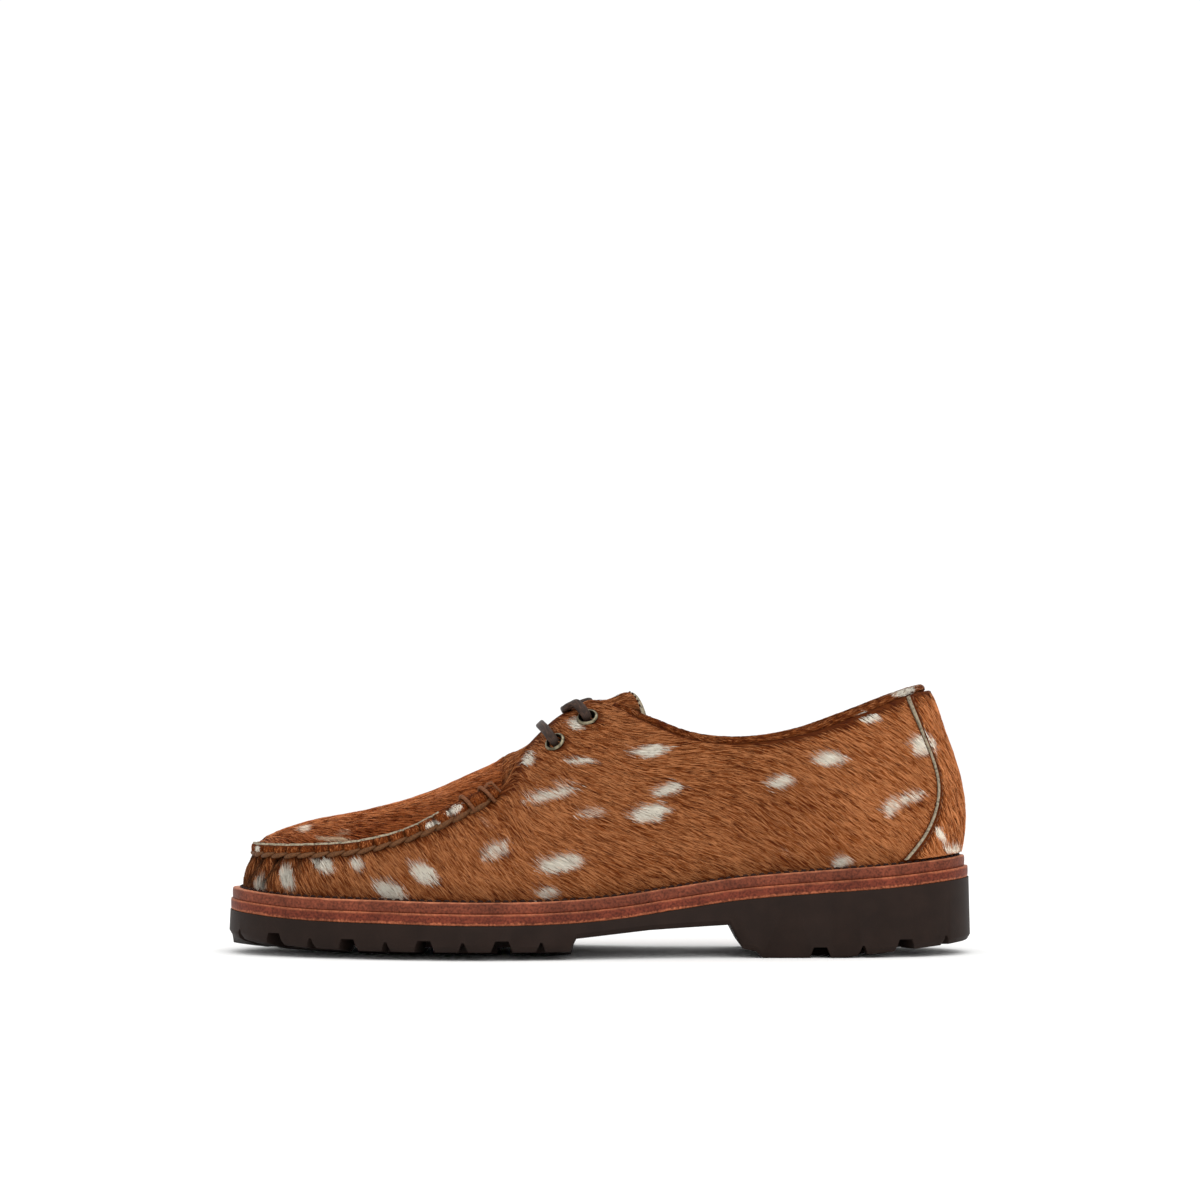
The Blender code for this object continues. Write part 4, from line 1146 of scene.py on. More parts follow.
def thicken(obj, thickness, **settings):
    """Gives a sheet its thickness, inwards."""
    wall = obj.modifiers.new("leather", "SOLIDIFY")
    wall.thickness = thickness * MM
    wall.offset = -1.0
    for name, value in settings.items():
        setattr(wall, name, value)


def heel_wards(root, u, v):
    """Hair that lies along u."""
    return np.ones(len(root)), np.zeros(len(root))


def downwards(root, u, v):
    """Hair that hangs against v."""
    return np.zeros(len(root)), -np.ones(len(root))


# Pieces


class SHOE_OT_upper(Operator):
    """Build the hide of the wall and the apron, with its lining, holes and gathered toe"""

    bl_idname = "shoe.upper"
    bl_label = "Upper"

    def execute(self, context):
        sizes, colours = settings(context)
        hide = shared_material(calf_hide, colours)
        lining = smooth_leather("lining_leather", colours.lining, 1.1, 0.55)
        # Sections lie closer at the eyelets and round the gathered toe
        fine = [np.linspace(-9.8, -8.2, 49), np.linspace(-3, 3, 145), np.linspace(8.2, 9.8, 49)]
        rows = np.unique(np.concatenate([np.linspace(-LAST_ROW, LAST_ROW, 217), *fine]).round(5))
        shares = np.linspace(0.0, 1.0, 41)
        bm = bmesh.new()
        add_grid(bm, wall_points(rows, shares, sizes.stitch_pitch / MM))
        for centre, normal in eyelet_places().values():
            self.cut_hole(bm, Vector(centre) * MM, (EYELET_BARREL_RADIUS + FIT_GAP) * MM)
        add_grid(bm, apron_points(np.linspace(0.0, SEAM_END_ROW, 73), shares))
        bmesh.ops.remove_doubles(bm, verts=bm.verts, dist=0.02 * MM)
        upper = link_mesh("upper_hide", bm, (hide, lining))
        thicken(upper, UPPER_WALL, material_offset=1)
        finish_piece(upper, "hair_on_hide", "upper")
        return {"FINISHED"}

    def cut_hole(self, bm, centre, radius):
        """Takes away the faces inside a ring and rounds the hole's rim."""
        inside = [vert for vert in bm.verts if (vert.co - centre).length < radius]
        rim = {edge.other_vert(vert) for vert in inside for edge in vert.link_edges} - set(inside)
        bmesh.ops.delete(bm, geom=inside, context="VERTS")
        for vert in rim:
            vert.co = centre + (vert.co - centre).normalized() * radius


class SHOE_OT_coat(Operator):
    """Lay the coat of hair over the wall and the apron"""

    bl_idname = "shoe.coat"
    bl_label = "Coat of hair"

    # Each stretch of the wall: name, shares of the way round from the outer heel, share of the full density
    STRETCHES = (
        ("coat_outer_rear", 0.0, 0.25, 1.0),
        ("coat_outer_front", 0.25, 0.5, 1.0),
        ("coat_inner_front", 0.5, 0.75, 0.7),
        ("coat_inner_rear", 0.75, 1.0, 0.7),
    )
    CELLS = (720, 60)
    APRON_CELLS = (120, 80)
    # The section where the collar starts, and the share of the wall's height left bare under its binding
    COLLAR_START = CORNER_ROW + 0.3
    COLLAR_GAP = 0.012
    # How much darker the toe is and paler the heel, the painted shade under the collar's binding and beside
    # the heel strip, and how much darker the hair is towards the foot
    TOE_SHADE = 0.1
    HEEL_LIGHT = 0.24
    EDGE_SHADE = 0.4
    FOOT_SHADE = 0.62
    # Tones of the apron's hair along its middle, paler there as a painted highlight, and at its sides, and
    # the share of it that its end takes on
    APRON_MIDDLE = (1.5, 1.42, 1.4)
    APRON_SIDE = (0.8, 0.6, 0.46)
    APRON_END = 0.7

    def execute(self, context):
        sizes, colours = settings(context)
        tints = strand_colours(colours)
        pitch = sizes.stitch_pitch / MM
        around, upwards = self.CELLS
        rows, shares = np.linspace(-LAST_ROW, LAST_ROW, around + 1), np.linspace(0.0, 1.0, upwards + 1)
        patch = Patch(wall_points(rows, shares, pitch))
        centres = [centre for centre, normal in eyelet_places().values()]

        def bare(points, u, v):
            row = np.abs(u / around * 2 - 1) * LAST_ROW
            under_strip = LAST_ROW - row < HEEL_STRIP.sections(v / upwards) + 0.015
            # Bare under the collar's binding and just above the welt, so that the dark hide shows there as
            # painted shade
            at_collar = (row > self.COLLAR_START) & (v / upwards > 1 - self.COLLAR_GAP)
            height = points[:, 2] - WELT.height(points[:, 0])
            at_foot = height < 0.5 + 0.35 * np.sin(points[:, 0] * 1.9) + 0.25 * np.sin(points[:, 0] * 4.3)
            away = [np.linalg.norm(points - centre, axis=-1) for centre in centres]
            return under_strip | at_collar | at_foot | (np.min(away, axis=0) < EYELET_FLANGE_RADIUS - 0.3)

        def tone(points, u, v):
            row = (u / around * 2 - 1) * LAST_ROW
            share = v / upwards
            pull = toe_pull(row)
            fold = gathers(row, share, pitch) + pull
            x = points[:, 0]
            ends = 1 - self.TOE_SHADE * ramp((-50 - x) / 50) + self.HEEL_LIGHT * ramp((x - 60) / 50)
            # Painted shade under the collar's binding, and a painted shadow beside the heel strip's edge
            below = np.where(np.abs(row) > self.COLLAR_START, ramp((1 - share) / 0.025), 1.0)
            collar = self.EDGE_SHADE + (1 - self.EDGE_SHADE) * below
            beside = LAST_ROW - np.abs(row) - HEEL_STRIP.sections(share)
            strip = self.EDGE_SHADE + (1 - self.EDGE_SHADE) * ramp(beside / 0.1)
            foot = self.FOOT_SHADE + (1 - self.FOOT_SHADE) * ramp((points[:, 2] - WELT.height(x)) / 13)
            # Painted shade in the toe's troughs and folds and where the wall is drawn in, and a little
            # painted light on the ridges
            folds = np.clip(1 + 0.75 * fold, 0.2, 1.1) * (1 - 0.4 * pull)
            return (ends * collar * strip * foot * folds)[:, None]

        def heading(root, u, v):
            x = root[:, 0]
            low, middle, high = HAIR_FLOW.low(x), HAIR_FLOW.middle(x), HAIR_FLOW.high(x)
            share = 2 * v / upwards - 1
            angle = middle + np.where(share < 0, low - middle, high - middle) * np.abs(share)
            angle = np.radians(angle)[:, None]
            along, across = patch.slopes(u, v)
            normal = unit(np.cross(across, along))
            level = unit(np.cross(UP, normal))
            heelwards = dot(level, along) * np.where(u < around / 2, -1.0, 1.0)
            level = level * np.sign(heelwards)[:, None]
            way = level * np.cos(angle) + unit(UP - normal * normal[:, 2:]) * np.sin(angle)
            first = unit(along)
            return dot(way, first), dot(way, np.cross(first, normal))

        for seed, (name, start, end, share) in enumerate(self.STRETCHES):
            coat = full_coat(sizes, density=sizes.hair_density * share, part=(start, end))
            dress(grow_hair(name, patch, coat, heading, tints, 11 + seed, bare, tone))
        along, across = self.APRON_CELLS
        rows, shares = np.linspace(0.02, SEAM_END_ROW, along + 1), np.linspace(0.0, 1.0, across + 1)
        apron = Patch(apron_points(rows, shares))
        dress(grow_hair("coat_apron", apron, full_coat(sizes), self.parted, tints, 17, tone=self.crown))
        return {"FINISHED"}

    def crown(self, points, u, v):
        """The apron's hair is paler along its middle, a painted highlight along the crown, and redder at
        its sides and its end.
        """
        along, across = self.APRON_CELLS
        aside = ramp((np.abs(2 * v / across - 1) - 0.2) / 0.6)
        behind = self.APRON_END * ramp((u - 0.8 * along) / (0.2 * along))
        middle, side = np.array(self.APRON_MIDDLE), np.array(self.APRON_SIDE)
        return middle + (side - middle) * np.maximum(aside, behind)[:, None]

    def parted(self, root, u, v):
        """The apron's hair parts along its middle and runs to the heel and to both sides."""
        angle = np.radians(APRON_FLOW * np.clip((2 * v / self.APRON_CELLS[1] - 1) * 2, -1, 1))
        return np.cos(angle), np.sin(angle)


class SHOE_OT_moc_seam(Operator):
    """Build the raised seam round the apron: pillows between stitches, pale cut edge, thread and loops"""

    bl_idname = "shoe.moc_seam"
    bl_label = "Moc seam"

    # The lip's profile, outwards and up: in the notch of a stitch, then over the pillow between stitches
    PROFILE = (
        (0.20, 0.60, 0.20, 0.60),
        (0.60, 0.10, 0.90, -0.35),
        (0.50, 0.50, 1.75, -0.05),
        (0.45, 1.05, 2.15, 0.75),
        (0.45, 1.70, 2.20, 1.55),
        (0.45, 2.25, 1.95, 2.35),
        (0.48, 2.65, 1.35, 2.90),
        (0.45, 2.90, 0.70, 3.05),
        (0.55, 3.10, 0.66, 3.20),
        (0.46, 3.65, 0.50, 3.80),
        (0.00, 3.85, 0.00, 4.00),
        (-0.45, 3.60, -0.45, 3.75),
        (-0.65, 3.10, -0.65, 3.15),
        (-0.80, 2.30, -0.80, 2.30),
        (-0.72, 1.55, -0.72, 1.55),
    )
    # The points of the profile with hair, and with the cut edge, which lies lower by a drop over the toe,
    # and behind a length along the seam over a length
    HAIRY = (1, 12)
    CUT_EDGE = (8, 11)
    EDGE_DROP = (0.45, 72.0, 20.0)
    # The pale edge shows from the toe to this x; behind it hair covers the lip, which grows by a share of
    # its size from one length along the seam to another
    PALE_END = -63.0
    REAR_BULK = (0.4, 80.0, 106.0)
    NOTCH_WIDTH = 0.75
    # Stretches of the lip's hair: name, shares of the way round from the outer end, and hair length
    COATS = (
        ("coat_moc_seam_outer_end", (0.0, 0.15), 3.2),
        ("coat_moc_seam", (0.15, 0.85), 2.0),
        ("coat_moc_seam_inner_end", (0.85, 1.0), 3.2),
    )
    # The seam lies flatter over the toe: its share of the full swell there, and the length it grows over
    TOE_SWELL = (0.3, 26.0)
    # Sections where a loop of thread shows over the lip, and the loop's way over it, outwards and up
    LOOPS = (5.2, 5.65)
    LOOP_WAY = ((1.5, -1.0), (2.1, 0.4), (2.2, 2.0), (1.5, 3.5), (0.1, 4.3), (-1.1, 3.4), (-1.0, 1.6))
    LOOP_SLANT = (1.4, -3.6)
    # Thickness of the loops and of the thread's end, as shares of the thread's, and how far a strand laps
    # over the next, in stitches
    LOOP_SHARE = 0.52
    END_SHARE = 0.4
    LAP = 0.1

    def execute(self, context):
        sizes, colours = settings(context)
        pitch = sizes.stitch_pitch / MM
        path = even_path(SEAM_POINTS, 0.4)
        lengths = np.linspace(SEAM_LENGTHS[0], SEAM_LENGTHS[-1], len(path))
        ahead, aside, up = frames_along(path)
        counts = stitch_count(lengths, pitch) + 0.5
        gap = np.abs(counts - np.round(counts)) * pitch
        swell = 1 - np.exp(-((gap / self.NOTCH_WIDTH) ** 2))
        profile = np.array(self.PROFILE)
        shape = profile[None, :, :2] + (profile[:, 2:] - profile[:, :2])[None] * swell[:, None, None]
        shape[..., 0] *= np.where(shape[..., 0] > 0, self.toe_swell(lengths)[:, None], 1.0)
        first, last = self.CUT_EDGE
        drop, behind, reach = self.EDGE_DROP
        low = np.maximum(1 - self.toe_swell(lengths), ramp((np.abs(lengths) - behind) / reach))
        shape[:, first : last + 1, 1] -= drop * low[:, None]
        taper = self.bulk(lengths) * (0.25 + 0.75 * ramp((lengths[-1] - np.abs(lengths)) / 4.0))
        grid = swept(path, aside, up, shape * taper[:, None, None])
        hide, edge = shared_material(calf_hide, colours), shared_material(raw_calf_edge, colours)
        bm = bmesh.new()
        add_grid(bm, grid, closed=True, marks=np.arange(grid.shape[1]))
        layer = bm.loops.layers.uv["lengths"]
        for face in bm.faces:
            marks = [loop[layer].uv.y for loop in face.loops]
            at_front = face.calc_center_median().x < self.PALE_END * MM
            face.material_index = int(at_front and min(marks) >= first and max(marks) <= last)
        finish_piece(link_mesh("moc_seam_lip", bm, (hide, edge)), "hair_on_hide", "moc_seam")

        # Painted shade on the hair in the notches between the pillows, a little lighter on the pillows
        def tone(points, u, v):
            return 0.3 + 0.85 * np.interp(u, np.arange(len(swell)), swell)[:, None]

        start, end = self.HAIRY

        def bare(points, u, v):
            covered = 3 * ramp((points[:, 0] - self.PALE_END + 34) / 34)
            return (points[:, 0] < self.PALE_END) & (v > first - start - 1 + covered)

        patch = Patch(grid[:, start:end])
        tints = strand_colours(colours)
        for seed, (name, part, length) in enumerate(self.COATS):
            coat = Coat(13.0, length, sizes.hair_width / MM, 0.25, spread=10.0, contrast=0.5, part=part)
            dress(grow_hair(name, patch, coat, downwards, tints, 21 + seed, bare, tone))
        self.sew(sizes, colours, (path, aside, up), lengths, counts)
        return {"FINISHED"}

    def bulk(self, lengths):
        """How much bigger the lip is at lengths from the toe."""
        more, start, end = self.REAR_BULK
        return 1 + more * ramp((np.abs(lengths) - start) / (end - start))

    def toe_swell(self, lengths):
        """The share of the seam's swell at lengths from the toe."""
        flat, reach = self.TOE_SWELL
        return flat + (1 - flat) * ramp(np.abs(lengths) / reach)

    def lay(self, bm, track, lengths, at, out, rise, thickness):
        """Lays a round strand at lengths along the seam, a way outwards and up from it."""
        points, sideways, upright = (read_path(at, lengths, values) for values in track)
        strand = points + sideways * out[:, None] + upright * rise[:, None]
        ahead, across, above = frames_along(strand, unit(sideways + upright * 0.01))
        add_grid(bm, swept(strand, across, above, ring(8) * thickness[:, None, None]), closed=True)

    def sew(self, sizes, colours, track, lengths, counts):
        """A strand of thread under each pillow, one over the next like a rope, and loops at the rear."""
        radius = sizes.seam_thread / MM / 2
        bm = bmesh.new()
        t = np.linspace(0, 1, 13)
        plump = np.sin(math.pi * np.clip(t, 0.05, 0.95)) ** 0.55
        for stitch in range(math.ceil(counts[0]), math.floor(counts[-1])):
            at = np.interp(stitch - self.LAP + (1 + 2 * self.LAP) * t, counts, lengths)
            toewards = t if stitch < 0 else 1 - t
            swell = self.toe_swell(at)
            thickness = radius * (0.25 + 0.75 * plump) * (0.75 + 0.4 * toewards) * (0.5 + 0.5 * swell)
            rise = 0.15 - 1.5 * toewards
            self.lay(bm, track, lengths, at, (0.9 + 0.9 * plump) * swell, rise, thickness * self.bulk(at))
        finish_thread("moc_seam_thread", bm, "seam_thread", colours.thread)
        bm = bmesh.new()
        t = np.linspace(0, 1, 25)
        over = smooth_path([(out, rise, 0.0) for out, rise in self.LOOP_WAY], len(t))
        start, slant = self.LOOP_SLANT
        for sign in (LATERAL, MEDIAL):
            for row in self.LOOPS:
                notch = np.interp(np.interp(sign * row, SEAM_ROWS, SEAM_LENGTHS), lengths, counts)
                notch = float(np.interp(round(float(notch)), counts, lengths))
                at = notch + sign * (start + slant * t)
                size = self.bulk(at)
                thickness = radius * self.LOOP_SHARE * size
                self.lay(bm, track, lengths, at, over[:, 0] * size, over[:, 1] * size, thickness)
            # A thin end of thread runs on over the last pillow and goes in behind it
            at = notch + (sign * (lengths[-1] - 0.5) - notch) * t
            rise = 3.5 + 0.8 * np.sin(math.pi * t) - 3.0 * ramp((t - 0.72) / 0.28)
            size = self.bulk(at)
            self.lay(bm, track, lengths, at, 0.9 * size, rise * size, radius * self.END_SHARE * size)
        finish_thread("moc_seam_loops", bm, "loop_thread", colours.loop_thread)


class SHOE_OT_collar(Operator):
    """Build the folded binding along the collar, with its short hair"""

    bl_idname = "shoe.collar"
    bl_label = "Collar binding"

    # The binding's width, height and corner, the height of its middle over the upper's edge, how far it
    # lies in and up at the back, and how far up at the front
    SECTION = (3.0, 2.7, 1.2)
    MIDDLE_HEIGHT = 1.45
    BACK_SHIFT = (0.35, 0.4)
    FRONT_LIFT = 0.6
    # Sections after the corner where it starts, how far it reaches out over the wall, sections where its
    # shift at the back starts and its lift at the front fades, and how many sections either takes
    START = 0.25
    OVERHANG = 0.35
    BACK_ROW, FRONT_ROW, CHANGE = 15.5, 10.6, 2.0

    def execute(self, context):
        sizes, colours = settings(context)
        start = CORNER_ROW + self.START
        rows = np.concatenate((np.linspace(-start, -LAST_ROW, 160), np.linspace(LAST_ROW, start, 160)[1:]))
        row, side = split_row(rows)
        edge = section(row, side, np.ones_like(rows))[0]
        below = section(row, side, np.full_like(rows, 0.96))[0]
        ahead = unit(np.gradient(edge, axis=0))
        inwards = unit(np.cross(edge - below, ahead))
        up = unit(np.cross(ahead, inwards))
        back = ramp((row - self.BACK_ROW) / self.CHANGE)[:, None]
        into, rise = self.BACK_SHIFT
        width = self.SECTION[0]
        front = 1 - ramp((row - self.FRONT_ROW) / self.CHANGE)[:, None]
        height = self.MIDDLE_HEIGHT + self.FRONT_LIFT * front + rise * back
        path = edge + inwards * (width / 2 - self.OVERHANG + into * back) + up * height
        grid = swept(path, inwards, up, round_profile(*self.SECTION, 4))
        bm = bmesh.new()
        add_grid(bm, grid, closed=True)
        binding = link_mesh("collar_binding_hide", bm, (shared_material(calf_hide, colours),))
        finish_piece(binding, "hair_on_hide", "collar_binding")
        coat = Coat(8.0, 3.2, sizes.hair_width / MM, 0.25, shade=0.92, spread=12.0, contrast=0.6)
        dress(grow_hair("coat_collar", Patch(grid), coat, heel_wards, strand_colours(colours), 31))
        return {"FINISHED"}


class SHOE_OT_heel_strip(Operator):
    """Build the strip over the back seam, with its pale cut edge, stitches and hair"""

    bl_idname = "shoe.heel_strip"
    bl_label = "Heel strip"

    # The strip's bevelled cut edge: share of the half width, and height over the upper
    CUT_EDGE = ((1.0, 0.1), (0.994, 0.7), (0.976, 1.4))
    INNER_SPAN = 0.968
    THICKNESS = 0.9
    STITCH_SPAN = 0.935
    # Its stitches: pitch, length and thickness
    STITCHES = (2.7, 2.0, 0.45)
    # Points between the cut edges, the share of its lift that the strip has low on the back, and how much
    # is added to that at the top
    INNER_POINTS = 73
    LOW_SHARE, MORE_ABOVE = 0.65, 0.6
    # Degrees that the hair runs down to the middle of the back
    HAIR_ANGLE = -68.0

    def execute(self, context):
        sizes, colours = settings(context)
        top = HEEL_STRIP_OFFSET + self.THICKNESS
        shares = np.linspace(*HEEL_STRIP_SHARES, 61)
        edge_spans, edge_lifts = np.array(self.CUT_EDGE).T
        inner = np.linspace(-self.INNER_SPAN, self.INNER_SPAN, self.INNER_POINTS)
        spans = np.concatenate((-edge_spans, inner, edge_spans[::-1]))
        thinner = self.LOW_SHARE + self.MORE_ABOVE * ramp((shares - 0.7) / 0.25)
        level = np.full(self.INNER_POINTS, top)
        lifts = np.concatenate((edge_lifts, level, edge_lifts[::-1]))[:, None] * thinner
        grid = strip_points(spans, shares, lifts)
        bm = bmesh.new()
        add_grid(bm, grid)
        hide, edge = shared_material(calf_hide, colours), shared_material(raw_calf_edge, colours)
        self.mark_edges(bm, grid_lengths(grid))
        strip = link_mesh("heel_strip_hide", bm, (hide, edge))
        thicken(strip, self.THICKNESS)
        finish_piece(strip, "hair_on_hide", "heel_strip")
        patch = Patch(strip_points(inner, shares, level[:, None] * thinner))
        coat = full_coat(sizes, shade=1.5, spread=9.0)

        def heading(root, u, v):
            angle = np.radians(self.HAIR_ANGLE)
            side = np.where(u < len(inner) / 2, 1.0, -1.0)
            return np.cos(angle) * side, np.full(len(u), np.sin(angle))

        def bare(points, u, v):
            # Bare just above the welt, so that the dark hide shows there as painted shade
            return points[:, 2] - WELT.height(points[:, 0]) < 1.0

        dress(grow_hair("coat_heel_strip", patch, coat, heading, strand_colours(colours), 41, bare))
        self.stitch(colours, shares, top * thinner)
        return {"FINISHED"}

    def mark_edges(self, bm, lengths):
        """Gives the bevel on both sides the look of a cut edge."""
        count = len(self.CUT_EDGE)
        layer = bm.loops.layers.uv["lengths"]
        for face in bm.faces:
            middle = sum(loop[layer].uv.x for loop in face.loops) / len(face.loops)
            face.material_index = int(middle < lengths[count - 1] or middle > lengths[-count])

    def stitch(self, colours, shares, top):
        """A row of stitches inside each cut edge."""
        bm = bmesh.new()
        for span in (-self.STITCH_SPAN, self.STITCH_SPAN):
            path = strip_points(np.array((span,)), shares, top[None])[0]
            outer = strip_points(np.array((span,)), shares, top[None] + 1.0)[0]
            add_stitches(bm, path, outer - path, *self.STITCHES)
        finish_thread("heel_strip_stitches", bm, "strip_thread", colours.loop_thread)


class SHOE_OT_tongue(Operator):
    """Build the tongue with its raw cut edge and its hair"""

    bl_idname = "shoe.tongue"
    bl_label = "Tongue"

    # Points of the tongue's grid under each facing and between them
    TUCKED = 8
    ACROSS = 33
    # Stitches along the free edge: pitch, length and thickness, and cells in from the edge
    STITCHES = (2.3, 1.4, 0.75)
    STITCH_INSET = 0.8

    def execute(self, context):
        sizes, colours = settings(context)
        points = tongue_points(56, self.TUCKED, self.ACROSS)
        hide, edge = shared_material(calf_hide, colours), shared_material(raw_calf_edge, colours)
        lining = bpy.data.materials["lining_leather"]
        bm = bmesh.new()
        add_grid(bm, points, marks=np.zeros(points.shape[1]))
        layer = bm.loops.layers.uv["lengths"]
        ends = sorted({round(loop[layer].uv.x, 4) for face in bm.faces for loop in face.loops})
        for face in bm.faces:
            if min(loop[layer].uv.x for loop in face.loops) > ends[-2] - 0.001:
                face.material_index = 2
        tongue = link_mesh("tongue_hide", bm, (hide, lining, edge))
        thicken(tongue, TONGUE_THICKNESS, material_offset_rim=2)
        finish_piece(tongue, "hair_on_hide", "tongue")
        coat = full_coat(sizes, lift=sizes.hair_lift / MM * 0.8)
        tints = strand_colours(colours)
        dress(grow_hair("coat_tongue", Patch(points[:-1]), coat, heel_wards, tints, 51, tone=self.tone))
        self.stitch(colours, Patch(points))
        return {"FINISHED"}

    def tone(self, points, u, v):
        """Painted shade on the hair beside the facings, and darker painted shade under them, which shows
        through the eyelets.
        """
        from_edge = np.minimum(v - self.TUCKED, self.TUCKED + self.ACROSS - 1 - v)
        return np.where(from_edge < 0, 0.12, 0.35 + 0.65 * ramp(from_edge / 4))[:, None]

    def stitch(self, colours, patch):
        """A row of stitches along the free edge."""
        v = np.linspace(self.TUCKED + 1, self.TUCKED + self.ACROSS - 2, 60)
        u = np.full(len(v), len(patch.points) - 1 - self.STITCH_INSET)
        along, across = patch.slopes(u, v)
        bm = bmesh.new()
        add_stitches(bm, patch.at(u, v), unit(np.cross(across, along)), *self.STITCHES)
        finish_thread("tongue_stitches", bm, "tongue_thread", colours.welt_thread)


class SHOE_OT_sole_leather(Operator):
    """Build the welt, the midsole and the insole, and the stitches along the welt"""

    bl_idname = "shoe.sole_leather"
    bl_label = "Welt, midsole and insole"

    # The welt's section: distance inwards, drop, and share of the edge's height for its colour
    WELT_SECTION = (
        (4.0, 0.0, -0.1),
        (1.0, 0.0, 0.0),
        (0.35, 0.1, 0.08),
        (0.05, 0.4, 0.16),
        (-0.05, 1.2, 0.35),
        (-0.08, 2.2, 0.55),
        (-0.05, 3.3, 0.8),
        (0.0, 4.1, 0.95),
        (0.12, 4.42, 1.0),
        (WELT_WIDTH, 4.42, 1.0),
        (WELT_WIDTH, 0.0, -0.1),
    )
    # The rims of the plates: distance inwards, and drop as a share of the thickness
    MIDSOLE_RIM = (
        (0.3, 1.06),
        (0.08, 1.0),
        (-0.02, 0.85),
        (-0.05, 0.6),
        (-0.05, 0.35),
        (0.0, 0.12),
        (0.12, 0.0),
    )
    INSOLE_RIM = ((0.0, 1.0), (0.0, 0.3), (0.5, 0.0))
    # Points from the toe to the heel
    POINTS = 241
    # The welt's stitches: the gap between two and their thickness, and how far they lie out from the
    # upper's foot and over the welt
    STITCH_GAP, STITCH_THICKNESS = 0.7, 1.0
    STITCH_OUT, STITCH_UP = 0.5, 0.1

    def execute(self, context):
        sizes, colours = settings(context)
        half = np.linspace(0, 180, self.POINTS)
        angles = np.concatenate((half, np.linspace(180, 0, self.POINTS)[1:]))
        sides = np.repeat((LATERAL, MEDIAL), (self.POINTS, self.POINTS - 1))
        self.welt(colours, angles, sides)
        rim, middle = tuple(colours.midsole_rim), tuple(colours.midsole_middle)
        midsole = burnished_edge("burnished_midsole", rim, middle, rim)
        drop = WELT_THICKNESS + FIT_GAP
        setback = self.setback(half, MIDSOLE_SETBACK)
        self.plate("midsole", midsole, setback, self.MIDSOLE_RIM, -drop, MIDSOLE_THICKNESS, "edge_leather")
        insole = smooth_leather("insole_leather", colours.lining, 1.4, 0.5)
        setback = FEATHER.margin(along_of(half)) + UPPER_WALL + 0.8
        top = FIT_GAP + INSOLE_THICKNESS
        self.plate("insole", insole, setback, self.INSOLE_RIM, top, INSOLE_THICKNESS, "lining_leather")
        self.stitch(sizes, colours, angles, sides)
        return {"FINISHED"}

    def setback(self, angle, ends):
        """How far a layer's edge stands back from the rubber's outline."""
        return ends[0] + (ends[1] - ends[0]) * along_of(angle)

    def welt(self, colours, angles, sides):
        """A leather ring with a soft outer edge."""
        columns, marks = [], []
        for into, drop, mark in self.WELT_SECTION + self.WELT_SECTION[:1]:
            points = inset(angles, sides, self.setback(angles, WELT_SETBACK) + into)
            points[:, 2] = WELT.height(points[:, 0]) - drop
            columns.append(points)
            marks.append(mark)
        bm = bmesh.new()
        add_grid(bm, np.stack(columns, axis=1), closed=True, marks=marks)
        rim, middle = tuple(colours.welt_rim), tuple(colours.welt_middle)
        leather = burnished_edge("burnished_welt", rim, middle, middle)
        finish_piece(link_mesh("welt_leather", bm, (leather,)), "edge_leather", "welt")

    def plate(self, node, material, edge, rim, top, thickness, slot):
        """A plate with a shaped rim, as sections across the sole from toe to heel."""
        angles = np.linspace(0, 180, self.POINTS)
        columns, marks = [], []
        for side, order in ((LATERAL, rim), (MEDIAL, rim[::-1])):
            for into, drop in order:
                points = inset(angles, np.full(self.POINTS, side), edge + into)
                points[:, 2] = WELT.height(points[:, 0]) + top - drop * thickness
                columns.append(points)
                marks.append(drop)
        columns.append(columns[0])
        marks.append(marks[0])
        bm = bmesh.new()
        add_grid(bm, np.stack(columns, axis=1), closed=True, marks=marks)
        finish_piece(link_mesh(node + "_leather", bm, (material,)), slot, node)

    def stitch(self, sizes, colours, angles, sides):
        """A row of stitches on the welt, close to the upper's foot; their dark thread is partly painted
        shade of the groove there.
        """
        path = inset(angles, sides, FEATHER.margin(along_of(angles)) - self.STITCH_OUT)
        path[:, 2] = WELT.height(path[:, 0]) + self.STITCH_UP
        bm = bmesh.new()
        length = sizes.welt_stitch / MM
        normals = np.broadcast_to(UP, path.shape)
        add_stitches(bm, path, normals, length + self.STITCH_GAP, length, self.STITCH_THICKNESS)
        finish_thread("welt_stitches", bm, "welt_thread", colours.welt_thread)


class SHOE_OT_outsole(Operator):
    """Round the moulded edges of the rubber lug sole"""

    bl_idname = "shoe.outsole"
    bl_label = "Outsole"

    # Edges sharper than this angle are moulded round by a width in millimetres
    SHARP = math.radians(35)
    ROUNDING = 0.45

    def execute(self, context):
        colours = settings(context)[1]
        bm = bmesh.new()
        bm.from_mesh(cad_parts["outsole"].data)
        bmesh.ops.remove_doubles(bm, verts=bm.verts, dist=0.001 * MM)
        bmesh.ops.dissolve_limit(bm, angle_limit=math.radians(1.0), verts=bm.verts, edges=bm.edges)
        outsole = link_mesh("outsole_rubber", bm, (lug_rubber(colours),))
        outsole.data.set_sharp_from_angle(angle=self.SHARP)
        soft = outsole.modifiers.new("moulded edges", "BEVEL")
        soft.width = self.ROUNDING * MM
        soft.segments = 2
        soft.limit_method = "ANGLE"
        soft.angle_limit = self.SHARP
        finish_piece(outsole, "lug_rubber", "outsole")
        return {"FINISHED"}


